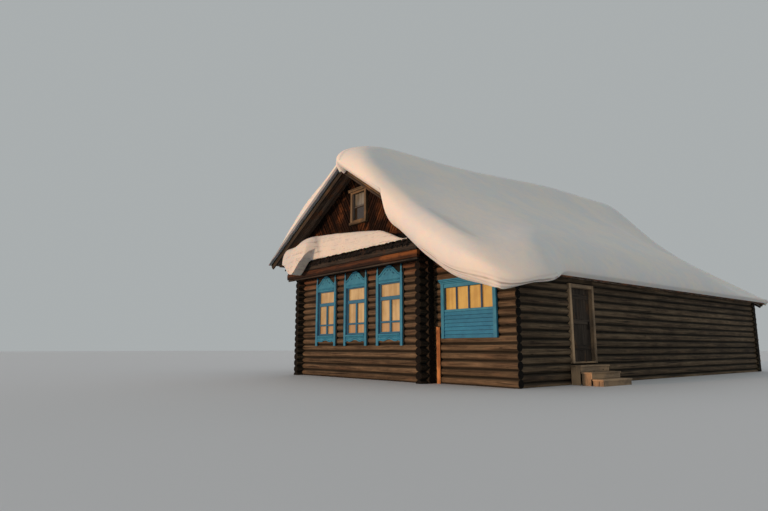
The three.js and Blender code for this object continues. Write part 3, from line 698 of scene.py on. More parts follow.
@dataclass(frozen=True)
class LogEnd:
    """The sawn end of a log: rings, cracks from the heart, and grey weathering, its colours kept near black as
    painted shade of the shaded corner stacks.
    """

    name: str = "log_ends"
    # near-black colours: painted shade where the log ends stand in the corners' shade
    pale: Colour = (0.011, 0.0075, 0.0047)
    dark: Colour = (0.0022, 0.0016, 0.0011)

    def make(self) -> Material:
        """Builds the material.

        Returns:
            The material.
        """
        r = Recipe(self.name)
        x, y, seed = r.split(r.grain())
        wave = r.streaks((x, y, seed), (14.0, 14.0, 3.0), 2.0) - 0.5
        reach = (x * x + y * y).math("SQRT") + wave * 0.012
        rings = (reach * 620.0).math("SINE") * 0.5 + 0.5
        angle = r.math("ARCTAN2", y, x)
        spoke = r.streaks((angle, reach, seed), (2.2, 3.0, 5.0), 2.0)
        crack = spoke.step(0.62, 0.66) * reach.step(0.01, 0.04)
        weather = r.noise(r.place(), 6.0, 4.0, 0.6)
        tone = r.mix((rings * 0.4 + weather * 0.7).step(0.3, 0.85), self.dark, self.pale)
        light = (1.0 - crack * 0.85) * ((r.chance(seed + 0.2) - 0.5) * 0.4 + 1.0)
        light = light * reach.step(0.118, 0.085).math("MAXIMUM", 0.55)
        height = rings * 0.25 - crack + 0.8
        return r.finish(r.shade(tone, light), 0.95, height, 0.006, 0.7, Specular_IOR_Level=0.2)


@dataclass(frozen=True)
class Paint:
    """Old oil paint on boards: brush lines, chalky fading, and flakes gone down to grey wood."""

    name: str
    fresh: Colour
    faded: Colour  # where the weather has chalked it
    deep: Colour  # where dirt has settled
    wood: Colour = (0.17, 0.15, 0.13)  # what shows through
    worn: float = 0.4  # share that has flaked

    def make(self) -> Material:
        """Builds the material.

        Returns:
            The material.
        """
        r = Recipe(self.name)
        place = r.place()
        grain = r.split(r.grain())
        brush = r.streaks(grain, (5.0, 130.0, 7.0), 3.0, 0.6)
        fade = r.noise(place, 3.4, 5.0, 0.6)
        dirt = r.noise(place, 9.0, 5.0, 0.65)
        flake = r.streaks(grain, (9.0, 60.0, 4.0), 4.0, 0.65)
        bare = (flake + fade * 0.25).step(0.86 - 0.16 * self.worn, 0.9 - 0.16 * self.worn)
        tone = r.mix((fade * 0.7 + brush * 0.4).step(0.4, 0.8), self.fresh, self.faded)
        tone = r.mix(dirt.step(0.5, 0.8) * 0.55, tone, self.deep)
        tone = r.mix(bare * 0.8, tone, self.wood)
        light = (r.chance(grain[2] + 0.4) - 0.5) * 0.16 + 0.92 + brush * 0.14
        height = brush * 0.4 - bare * 0.6 + 0.6
        return r.finish(r.shade(tone, light), 0.52 + bare * 0.35 + fade * 0.15, height, 0.0025, 0.6)


@dataclass(frozen=True)
class Snow:
    """Settled snow: a soft dry crust with wind ripples, layers and a fine grain."""

    name: str
    lit: Colour = (0.86, 0.79, 0.71)
    cool: Colour = (0.76, 0.75, 0.74)
    strata: float = 0.0  # strength of the dark lines between layers
    specks: float = 0.0  # strength of the bits of bark in it
    fade: Span = (99.0, 98.0)  # heights between which the specks come in
    folds: tuple[Span, ...] = ()  # creases drawn as painted shade lines, as (height over the lower edge, strength)
    # Heights over the lower edge between which painted shade, grey, comes in, from none to all.
    shade: Span = (-9.0, -9.1)

    def make(self) -> Material:
        """Builds the material.

        Returns:
            The material.
        """
        r = Recipe(self.name)
        place = r.place()
        x, y, z = r.split(place)
        drift = r.noise(place, 0.7, 3.0, 0.5)
        crust = r.noise(place, 5.0, 6.0, 0.62)
        fine = r.noise(place, 70.0, 3.0, 0.6)
        layer = r.noise(r.join(x * 0.3, y * 0.3, z * 12.0 + drift * 2.5), 1.0, 3.0, 0.5)
        line = abs(layer - 0.5).step(0.03, 0.0)
        tone = r.mix((drift * 0.6 + crust * 0.4).step(0.35, 0.65), self.lit, self.cool)
        tone = r.mix(line * (crust.step(0.35, 0.65) * self.strata), tone, (0.3, 0.24, 0.21))
        speck = r.noise(place, 34.0, 4.0, 0.7).step(0.57, 0.68) * r.noise(place, 2.1, 3.0, 0.5).step(0.4, 0.62)
        tone = r.mix(speck * (z.step(*self.fade) * self.specks), tone, (0.12, 0.08, 0.055))
        over = z - r.split(r.grain())[2]
        # painted shade: grey on the lowest band over the lower edge
        tone = r.mix(over.step(*self.shade), tone, (0.3, 0.31, 0.33))
        height = crust * 0.55 + fine * 0.16 + layer * 0.25 - line * (0.3 * self.strata)
        for level, share in self.folds:
            # painted shade: dark crease lines along the lower edge
            crease_shade = abs(over - level + (drift - 0.5) * 0.12 + (crust - 0.5) * 0.02).step(0.038, 0.003)
            crease_shade = crease_shade * (r.noise(place, 1.1, 2.0).step(0.3, 0.5) * share)
            tone = r.mix(crease_shade * 0.8, tone, (0.34, 0.27, 0.23))
            height = height - crease_shade * 0.6
        return r.finish(tone, 0.82 - fine * 0.15, height, 0.03, 0.35, Subsurface_Weight=0.2,
                        Subsurface_Scale=0.05, Specular_IOR_Level=0.3)


@dataclass(frozen=True)
class Pane:
    """Old window glass with a golden evening sky painted in as reflection and glow, and a curtain's folds
    behind it.
    """

    name: str
    sky: Colour  # the bright parts of the painted reflection
    low: Colour  # the darker parts
    below: Colour  # takes over under the split
    split: Span
    share: float = 0.5  # how much of it
    painted_glow: float = 0.25  # emission strength: painted glow for the light that the pane gives back
    folds: float = 9.0  # curtain folds in a metre

    def make(self) -> Material:
        """Builds the material.

        Returns:
            The material.
        """
        r = Recipe(self.name)
        place = r.place()
        x, y, z = r.split(place)
        fold = r.noise(r.join((x + y) * self.folds, x * 0.5, z * 0.5), 1.0, 3.0, 0.55)
        sway = r.noise(place, 2.6, 3.0, 0.5)
        tone = r.mix((fold * 0.6 + sway * 0.45).step(0.36, 0.68), self.low, self.sky)
        tone = r.mix(z.step(*self.split) * self.share, tone, self.below)
        # painted reflection and glow: the colour is also emitted
        return r.finish(tone, 0.14 + sway * 0.1, sway, 0.004, 0.2, Emission_Color=tone,
                        Emission_Strength=self.painted_glow, Coat_Weight=0.4, Coat_Roughness=0.08)


class Finish(Enum):
    """Every finish of the house, as the recipe of its material."""

    LOGS = LogWood()
    LOG_ENDS_IN_PAINTED_SHADE = LogEnd()
    # near-black boards with warm patches: painted shade from the roof's overhang over the gable
    GABLE_IN_PAINTED_SHADE = Wood("gable_boards", (0.02, 0.0075, 0.0034), (0.0014, 0.0006, 0.0003), (0.08, 0.028, 0.0095),
                 0.26, 0.8, 0.9, gloss=0.12)
    DECK = Wood("roof_boards", (0.16, 0.12, 0.09), (0.04, 0.03, 0.024), (0.15, 0.07, 0.035), 0.3, 0.6, 0.6)
    # near-black boards: dark rotten wood with painted shade for the band under the snow bank
    SPLINTERS_IN_PAINTED_SHADE = Wood("splintered_boards_painted_shade", (0.01, 0.006, 0.004), (0.002, 0.0013, 0.001), (0.06, 0.032, 0.018),
                     0.08, 0.8, 1.0)
    SOFFIT = Wood("soffit_boards", (0.13, 0.055, 0.028), (0.03, 0.013, 0.009), (0.19, 0.07, 0.028),
                  0.35, 0.5, 0.5)
    GREY = Wood("grey_boards", (0.17, 0.15, 0.135), (0.05, 0.044, 0.04), (0.16, 0.11, 0.075), 0.2, 0.7, 0.4)
    # near-black boards: the rake's dark band, and painted shadow beside and behind the carved casings
    CHAR_AND_PAINTED_SHADOW = Wood("dark_boards_and_painted_shadow", (0.02, 0.02, 0.015), (0.005, 0.005, 0.004), (0.05, 0.03, 0.02), 0.15, 0.6, 0.4)
    MOULDING = Wood("grey_moulding", (0.07, 0.052, 0.038), (0.014, 0.01, 0.007), (0.085, 0.045, 0.022),
                    0.2, 0.6)
    # its lower side darkened as painted shade
    BEAM = Wood("orange_beam", (0.085, 0.03, 0.011), (0.016, 0.007, 0.0045), (0.15, 0.052, 0.0135),
                0.3, 0.9, 0.3, shade_below=(3.23, 3.15), fresh=(-0.7, 2.3))
    FASCIA = Wood("fascia_boards", (0.078, 0.063, 0.05), (0.01, 0.008, 0.006), (0.07, 0.034, 0.018),
                  0.2, 0.9, 0.4)
    FRAME = Wood("attic_frame", (0.17, 0.12, 0.07), (0.05, 0.034, 0.021), (0.21, 0.13, 0.065), 0.3, 0.4, 0.3)
    CORNER = Wood("corner_board", (0.42, 0.17, 0.06), (0.15, 0.05, 0.02), (0.5, 0.22, 0.08), 0.4, 0.6, 0.3)
    PLAIN = Wood("plain_boards", (0.36, 0.26, 0.17), (0.16, 0.11, 0.07), (0.4, 0.27, 0.16), 0.4, 0.3, 0.3)
    FLOORING = Wood("floor_boards", (0.36, 0.25, 0.15), (0.17, 0.11, 0.065), (0.4, 0.26, 0.14), 0.4, 0.3, 0.3,
                    Follow.ALONG_Y)
    CARVED = Paint("carved_blue", (0.009, 0.166, 0.298), (0.034, 0.262, 0.395), (0.005, 0.065, 0.15), worn=0.3)
    SASH = Paint("sash_blue", (0.008, 0.115, 0.225), (0.022, 0.16, 0.28), (0.005, 0.045, 0.1), worn=0.3)
    # a darker copy of the blue paint: painted shade on the window boxes' jambs and in the carved hollows; the
    # annex's bars take it too
    REVEAL_IN_PAINTED_SHADE = Paint("reveal_blue_painted_shade", (0.006, 0.045, 0.12), (0.01, 0.065, 0.15), (0.004, 0.022, 0.055), worn=0.2)
    SIDING = Paint("siding_blue", (0.006, 0.15, 0.29), (0.018, 0.21, 0.36), (0.004, 0.075, 0.16), worn=0.2)
    PUTTY = Paint("putty_lines", (0.34, 0.25, 0.15), (0.42, 0.33, 0.22), (0.16, 0.12, 0.08), worn=0.3)
    PANE = Pane("golden_panes", (0.5, 0.36, 0.17), (0.34, 0.22, 0.085), (0.3, 0.15, 0.06), (1.64, 1.5))
    WIDE_PANE = Pane("yellow_panes", (0.54, 0.35, 0.085), (0.4, 0.23, 0.05), (0.4, 0.2, 0.05), (1.0, 0.9))
    ATTIC_PANE = Pane("attic_pane", (0.2, 0.18, 0.14), (0.1, 0.085, 0.06), (0.022, 0.012, 0.005), (5.18, 5.1),
                      0.95, 0.012)
    SNOW = Snow("settled_snow", folds=((0.18, 1.0), (0.09, 0.45), (0.27, 0.2)))
    THIN_SNOW = Snow("thin_snow", strata=0.4, specks=0.55, fade=(-2.0, -1.0), shade=(0.15, 0.1))
    BANK = Snow("layered_snow", (0.74, 0.67, 0.59), (0.62, 0.6, 0.58), 0.75, 0.75, (4.02, 3.8))

    @cached_property
    def material(self) -> Material:
        """The material, made when it is first asked for."""
        return self.value.make()


@dataclass(frozen=True)
class LogWall:
    """A wall of stacked logs, cut for its openings and trimmed under the roof."""

    name: str
    node: str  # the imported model's node that it stands for
    wall: Wall
    span: Span  # u of the logs' two ends
    hewn: Span  # u over which the inner side is hewn flat
    phase: float  # 0 where a course starts on the ground, 0.5 where half a log does
    top: float  # height of the last full course
    holes: Sequence[Hole] = ()  # openings
    short: Span | None = None  # u left to the courses above top
    seed: int = 1
    stretch: float = 0.3  # between sections of a log
    # Corners of a log's section, in degrees from straight out.
    angles: tuple[float, ...] = (
        -90, -78, -66, -54, -40, -26, -13, 0, 13, 26, 40, 54, 66, 78, 90, 125, 155, 180, 205, 235)

    def under_roof(self, u: Array, w: Array) -> Array:
        """Height of the roof's lower face over a point of the wall."""
        return roof_under(self.wall.at(u, 0.0, w)[..., 0]) - 0.004

    def stations(self, u0: float, u1: float) -> Array:
        """Places along a log: close together at its ends, then one in every stretch.

        Args:
            u0: one end.
            u1: the other end.

        Returns:
            The places in order.
        """
        tip = min(0.03, (u1 - u0) / 8)
        count = max(3, int((u1 - u0) / self.stretch) + 2)
        return np.concatenate([[u0, u0 + tip / 3], np.linspace(u0 + tip, u1 - tip, count), [u1 - tip / 3, u1]])

    def log(self, solid: Solid, ends: Span, centre: float, limits: Span, number: int) -> None:
        """Adds one log, or a stretch of one beside an opening.

        At each station the section is w = -R + r cos a, v = centre + r sin a, r = R (0.957 + 0.028 ripple),
        held between the limits and the roof, and no deeper than the hewn inner face between the corners.

        Args:
            solid: takes the log.
            ends: u of its two ends.
            centre: height of its axis.
            limits: heights that it stays between.
            number: the log's number, which picks its shape.
        """
        rng = np.random.default_rng(self.seed * 1000 + number)
        angle = np.radians(np.array(self.angles))
        u = self.stations(*ends)[:, None]
        taper = np.where((u == u[0]) | (u == u[-1]), 0.93, 1.0)
        bulge = ripple(u / 0.8, angle[None] / 3.0, self.seed * 77 + number)
        radius = LOG_RADIUS * taper * (0.957 + rng.uniform(-0.012, 0.012) + 0.028 * bulge)
        wander = 0.007 * ripple(u / 2.2, np.zeros_like(u), number + 5)
        w = -LOG_RADIUS + radius * np.cos(angle) - 0.003 + wander * 0.5
        v = centre + radius * np.sin(angle) + wander
        inside = (u > self.hewn[0]) & (u < self.hewn[1])
        w = np.where(inside, np.maximum(w, -WALL), w)
        v = np.clip(v, limits[0], np.minimum(limits[1], self.under_roof(u, w)))
        place = rng.uniform(0, 50)
        inner = np.sign(np.pi - angle) * (HEWN_TURN - abs(angle - np.pi) * 0.5)
        lane = np.where(angle < HEWN_TURN, angle, inner) * LOG_RADIUS
        caps = stack(w[[0, -1]] + LOG_RADIUS, v[[0, -1]] - centre, place)
        solid.tube(self.wall.at(u, v, w), stack(u + place, np.append(lane, lane[0]), place), caps, (0, 1))

    def stretches(self, centre: float, u0: float, u1: float) -> list[tuple[Span, Span]]:
        """Where one course runs: (ends, limits) of every stretch, split at the openings that it meets.

        Args:
            centre: height of the logs' axis.
            u0: the course's one end.
            u1: its other end.

        Returns:
            Ends and limits of each stretch.
        """
        bottom, top = centre - LOG_RADIUS, centre + LOG_RADIUS
        found, start, open_air = [], u0, (0.0, 99.0)
        for left, right, low, high in sorted(self.holes):
            if top <= low + 0.002 or bottom >= high - 0.002:
                continue
            found.append(((start, left), open_air))
            if low - bottom > 0.02:
                found.append(((left, right), (0.0, low)))
            if top - high > 0.02:
                found.append(((left, right), (high, 99.0)))
            start = right
        return [*found, ((start, u1), open_air)]

    def build(self) -> None:
        """Lays every course and makes the piece."""
        solid, number = Solid(), 0
        for k in range(MOST_COURSES):
            centre = (k + 0.5 - self.phase) * COURSE
            span = self.span
            if centre + 0.06 > self.top:
                if self.short is None:
                    break
                span = self.short
            us = np.linspace(*span, 400)
            clear = us[self.under_roof(us, np.zeros(400)) > centre - LOG_RADIUS * 0.8]
            if len(clear) < 8:
                break
            for ends, limits in self.stretches(centre, float(clear.min()), float(clear.max())):
                number += 1
                if ends[1] - ends[0] > 0.03:
                    self.log(solid, ends, centre, limits, number)
        # the log ends take near-black colours, painted shade
        solid.make(self.name, "logs", [Finish.LOGS, Finish.LOG_ENDS_IN_PAINTED_SHADE], self.node, sharp=50)


@dataclass(frozen=True)
class Gable:
    """Boarded gable: boards laid in two fields that lean together towards the foot, over bottom boards."""

    name: str
    node: str
    wall: Wall
    flip: float  # 1 where u runs with x, else -1
    lean: float  # degrees by which the boards lean
    window: Hole | None = None  # the attic window's opening
    board: float = 0.104
    face: float = 0.1  # outer face behind the wall's face
    thick: float = 0.06  # whole depth
    backing: float = 0.012  # thickness of its back
    foot: float = 3.95  # where the leaning boards begin

    def rise(self, side: float) -> float:
        """Slope of the roof over one half."""
        return LEFT_SLOPE if side * self.flip < 0 else RIGHT_SLOPE

    def field_of_boards(self, solid: Solid, side: float) -> None:
        """Adds the boards of one half, each cut to the middle, the wall's end, the foot and the roof's slope.

        A board's edge lies on the line p + t d; its range of t comes from the half planes n.p < c that bound
        the field, as the greatest lower and the least upper value of (c - n.p) / n.d.

        Args:
            solid: takes the boards.
            side: -1 for the left half, 1 for the right one.
        """
        lean = math.radians(self.lean)
        way = np.array([side * math.sin(lean), math.cos(lean)])
        over = np.array([math.cos(lean), -side * math.sin(lean)])
        normals = np.array([[-side, 0.0], [side, 0.0], [0.0, -1.0], [side * self.rise(side), 1.0]])
        limits = np.array([-0.006, CABIN_HALF - 0.002, -self.foot, RIDGE_TOP - ROOF_DROP - 0.006])
        rate = normals @ way
        rate[abs(rate) < 1e-9] = 1e-9
        rng = np.random.default_rng(int(50 + side))
        across = self.wall.at(over[0], over[1], 0) - self.wall.at(0, 0, 0)
        count = int(7.0 / self.board)
        for k in range(count):
            base = np.array([0.0, self.foot]) + (k - count / 2 + 0.5) * self.board * over

            def cut(a: Array, base: Array = base) -> tuple[Array, Array]:
                """Range along the board at offsets across it.

                Args:
                    a: the offsets.
                    base: the board's place.

                Returns:
                    Both ends at each offset.
                """
                t = (limits - (base + a[:, None] * over) @ normals.T) / rate
                low, high = t[:, rate < 0].max(axis=1), t[:, rate > 0].min(axis=1)
                return low, np.maximum(high, low + 0.001)

            low, high = cut(np.array([0.0]))
            if high[0] - low[0] < 0.05:
                continue
            for part in self.around_window(cut, base, way):
                width, thick = self.board - rng.uniform(0.012, 0.032), 0.026 + rng.uniform(0, 0.008)
                depth = -self.face - self.thick / 2 + rng.uniform(-0.003, 0.004)
                start, end = (self.wall.at(*p, depth) for p in (base, base + way))
                solid.plank(start, end, across, width, thick, rng.uniform(0, 40), stations=4, cut=part)

    def around_window(self, cut: Cut, base: Array, way: Array) -> list[Cut]:
        """Splits a board where it crosses the attic window, behind the window's frame.

        Args:
            cut: the whole board's cut.
            base: where its middle line starts.
            way: direction of the board.

        Returns:
            The cut of each part.
        """
        if self.window is None:
            return [cut]
        u0, u1, v0, v1 = self.window
        t = np.linspace(-2, 8, 2001)
        u, v = base[0] + t * way[0], base[1] + t * way[1]
        hit = t[(u > u0) & (u < u1) & (v > v0) & (v < v1)]
        if not len(hit):
            return [cut]

        def below(a: Array) -> tuple[Array, Array]:
            """The part that ends where the opening begins."""
            return cut(a)[0], np.minimum(cut(a)[1], hit.min())

        def above(a: Array) -> tuple[Array, Array]:
            """The part that starts where the opening ends."""
            return np.maximum(cut(a)[0], hit.max()), cut(a)[1]
        edges = np.linspace(-0.05, 0.05, 3)
        return [part for part in (below, above) if np.subtract(*part(edges)).max() < -0.02]

    def back_boards(self, solid: Solid, side: float, first: float) -> None:
        """Adds the sheet at the back of one half, from u = first out to the wall's end, under the roof.

        Args:
            solid: takes the sheet.
            side: -1 for the left half, 1 for the right one.
            first: where it begins.
        """
        u = np.stack([np.linspace(first, side * (CABIN_HALF - 0.003), 12)] * 2)
        v = np.stack([np.full(12, WALL_TOP + GAP),
                      RIDGE_TOP - ROOF_DROP - 0.006 - abs(u[0]) * self.rise(side)])
        back = -self.face - self.thick
        solid.shell(self.wall.at(u, v, back + self.backing), self.wall.at(u, v, back), stack(v, u, 3.0))

    def build(self) -> None:
        """Adds both fields, the backing behind them and the bottom boards."""
        solid = Solid()
        u0, u1, v0, v1 = self.window or (-0.0005, 0.0005, WALL_TOP, WALL_TOP)
        for side, first in ((-1.0, u0), (1.0, u1)):
            self.field_of_boards(solid, side)
            self.back_boards(solid, side, first)
        if self.window is not None:
            peak = float(roof_under(np.array([u0, u1])).min()) - 0.01
            depth = (-self.face - self.thick, -self.face - self.thick + self.backing)
            for low, high in ((WALL_TOP + GAP, v0), (v1, peak)):
                solid.bar(self.wall, (u0, u1), (low, high), depth, 8.0)
        reach, split = CABIN_HALF - 0.03, self.foot - 0.12
        for k, heights in enumerate(((WALL_TOP + 0.002, split), (split, self.foot + 0.02))):
            depth = (-self.face - 0.045, -self.face - 0.004 + 0.012 * k)
            solid.bar(self.wall, (-reach, reach), heights, depth, 11.0 + k)
        # the boards take colours darkened as painted shade
        solid.make(self.name, "gable_boards", [Finish.GABLE_IN_PAINTED_SHADE], self.node)


@dataclass(frozen=True)
class AtticWindow:
    """The attic window's frame, cornice and sill."""

    centre: float = 0.1  # u of its middle
    half: float = 0.39
    bottom: float = 4.59
    top: float = 5.6
    board: float = 0.09
    face: float = -0.1  # where the gable's face lies
    proud: float = 0.07  # of the frame

    def build(self) -> None:
        """Makes the frame as four boards with a dark inner edge, a cornice in two steps and a sill."""
        solid, b, wall = Solid(), self.board, replace(STREET, u0=self.centre, w0=self.face)
        outer, inner, low, high = self.half, self.half - self.board, self.bottom, self.top
        solid.pair(wall, (outer, inner), (low, high), (-0.06, self.proud), 3.0)
        for v0 in (low, high - b):
            solid.bar(wall, (-inner, inner), (v0, v0 + b), (-0.06, self.proud - 0.004), 2 * v0)
        for past, v0, v1, out, seed in ((0.05, high - 0.03, high + 0.022, 0.11, 9.3),
                                        (0.06, high + 0.022, high + 0.05, 0.13, 9.9),
                                        (0.03, low - 0.04, low + 0.03, 0.1, 10.4)):
            solid.bar(wall, (-outer - past, outer + past), (v0, v1), (GAP, out), seed)
        solid.paint(0)
        solid.pair(wall, (inner, inner - 0.02), (low + b, high - b), (-0.055, 0.045), 5.0, 0.003)
        solid.bar(wall, (-inner + 0.02, inner - 0.02), (5.08, 5.105), (-0.028, 0.0), 12.0, 0.003)
        solid.paint(1)
        solid.make("attic_frame", "window_frame", [Finish.FRAME, Finish.GREY], "attic_window_frame")
        dress("attic_window_glass", Finish.ATTIC_PANE)


@dataclass(frozen=True)
class Slope:
    """One slope's own axes: t down it from the ridge, y along the house, lift out of its upper face."""

    side: float  # -1 for the left slope and 1 for the right one
    rise: float
    eave: float  # |x| there

    @property
    def lean(self) -> float:
        """Its angle in radians."""
        return math.atan(self.rise)

    @property
    def way(self) -> Array:
        """Direction down the slope."""
        return np.array([self.side * math.cos(self.lean), 0.0, -math.sin(self.lean)])

    @property
    def normal(self) -> Array:
        """Direction out of the slope."""
        return np.array([self.side * math.sin(self.lean), 0.0, math.cos(self.lean)])

    @property
    def length(self) -> float:
        """Length from the ridge to the eave."""
        return self.eave / math.cos(self.lean)

    def start(self, y: float, lift: float) -> Array:
        """The point at t = 0."""
        return np.array([self.side * GAP, y, RIDGE_TOP]) + self.normal * lift


@dataclass(frozen=True)
class MainRoof:
    """Roof boards in two layers that run down each slope, the ridge beam and the rake boards."""

    board: float = 0.165  # usual width
    # Boards along a gable's edge as (depth of the middle, width, thickness, how far back, slot).
    bands: tuple[tuple[float, float, float, float, int], ...] = (
        (0.018, 0.036, 0.028, 0.015, 0), (0.09, 0.105, 0.02, 0.019, 1), (0.154, 0.02, 0.028, 0.015, 2))
    pole: float = 0.04  # radius of the moulding
    pole_depth: float = 0.205
    slopes: tuple[Slope, ...] = (Slope(-1.0, LEFT_SLOPE, -LEFT_EAVE), Slope(1.0, RIGHT_SLOPE, RIGHT_EAVE))

    def slope_boards(self, slope: Slope) -> None:
        """Lays both layers of one slope; the lower ends are uneven, most so on the open left side.

        Args:
            slope: the slope.
        """
        rng = np.random.default_rng(int(6 + slope.side))
        solid = Solid()
        deep = ROOF_DROP * math.cos(slope.lean)
        uneven = 0.3 if slope.side > 0 else 1.0
        last = HOUSE_LENGTH + VERGE
        for slot, lift in enumerate((deep - 0.0155, deep - 0.0455)):
            y = 0.002 - VERGE
            while y < last - 0.03:
                width = min(self.board * rng.uniform(0.8, 1.15), last - 0.002 - y)
                head = slope.start(y + width / 2, -lift)
                end = slope.length + rng.uniform(-0.035, 0.042) * uneven
                solid.plank(head + slope.way * (0.002 + lift * slope.rise), head + slope.way * end,
                            np.array([0.0, 1.0, 0.0]), width - 0.006, 0.027, rng.uniform(0, 40), 0.003, 5,
                            rng.uniform(-0.0015, 0.0015))
                y += width
            solid.paint(slot)
        name = "roof_right" if slope.side > 0 else "roof_left"
        solid.make(name + "_boards", "roof_boards", [Finish.DECK, Finish.SOFFIT], name)

    def moulding(self, solid: Solid, slope: Slope, face: float, outward: float) -> None:
        """Adds the rounded moulding: a circle carried down the slope, cut upright under the ridge.

        Args:
            solid: takes the moulding.
            slope: the slope that it follows.
            face: y of the rake's face.
            outward: -1 at the street and 1 at the back.
        """
        count, stations = 10, 14
        angle = np.linspace(0, 2 * np.pi, count, endpoint=False)
        begin = (self.pole_depth + self.pole * np.cos(angle)) * slope.rise
        t = begin + np.linspace(0, 1, stations)[:, None] * (slope.length - 0.03 - begin)
        lift = np.broadcast_to(-self.pole * np.cos(angle), t.shape)
        out = np.broadcast_to(np.minimum(self.pole * np.sin(angle), 0.03) * outward, t.shape)
        middle = slope.start(face - outward * 0.03, -self.pole_depth)
        rings = middle + t[..., None] * slope.way + lift[..., None] * slope.normal \
            + out[..., None] * np.array([0.0, 1.0, 0.0])
        around = np.append(angle, 2 * np.pi) * self.pole
        grain = stack(t[:, np.append(np.arange(count), 0)], around, 6.0 + slope.side)
        solid.tube(rings, grain, stack(lift[0], out[0], 6.0))

    def rakes(self, name: str, face: float, outward: float) -> None:
        """Adds one gable end's rake: three boards in bands and a rounded moulding under them.

        Args:
            name: the node that it stands for.
            face: y of the outer face.
            outward: -1 at the street and 1 at the back.
        """
        solid = Solid()
        for slope in self.slopes:
            for depth, width, thick, back, slot in self.bands:
                middle = slope.start(face - outward * back, -depth)
                mitre = slanted(depth * slope.rise + 0.001, -slope.rise, slope.length - 0.002, 0.0)
                solid.plank(middle, middle + slope.way, slope.normal, width, thick, depth * 30 + slope.side,
                            stations=12, cut=mitre)
                solid.paint(slot if slope.side < 0 else 2)
            self.moulding(solid, slope, face, outward)
            solid.paint(3)
        solid.make(name + "_boards", "dark_trim", [Finish.GREY, Finish.CHAR_AND_PAINTED_SHADOW, Finish.FRAME, Finish.MOULDING],
                   name)

    def build(self) -> None:
        """Makes the boards, both rakes and the ridge beam."""
        for slope in self.slopes:
            self.slope_boards(slope)
        self.rakes("front_rake", -VERGE - RAKE_THICK - GAP, -1.0)
        self.rakes("back_rake", HOUSE_LENGTH + VERGE + RAKE_THICK + GAP, 1.0)
        solid = Solid()
        width, deep = 0.18, 0.165
        top = float(roof_under(np.array(width / 2))) - GAP
        start = np.array([0.0, -VERGE, top - deep / 2])
        end = start + np.array([0.0, HOUSE_LENGTH + 2 * VERGE, 0.0])
        solid.plank(start, end, np.array([1.0, 0.0, 0.0]), width, deep, 4.0, 0.03, 24)
        solid.make("ridge_timber", "dark_trim", [Finish.MOULDING], "ridge_beam")


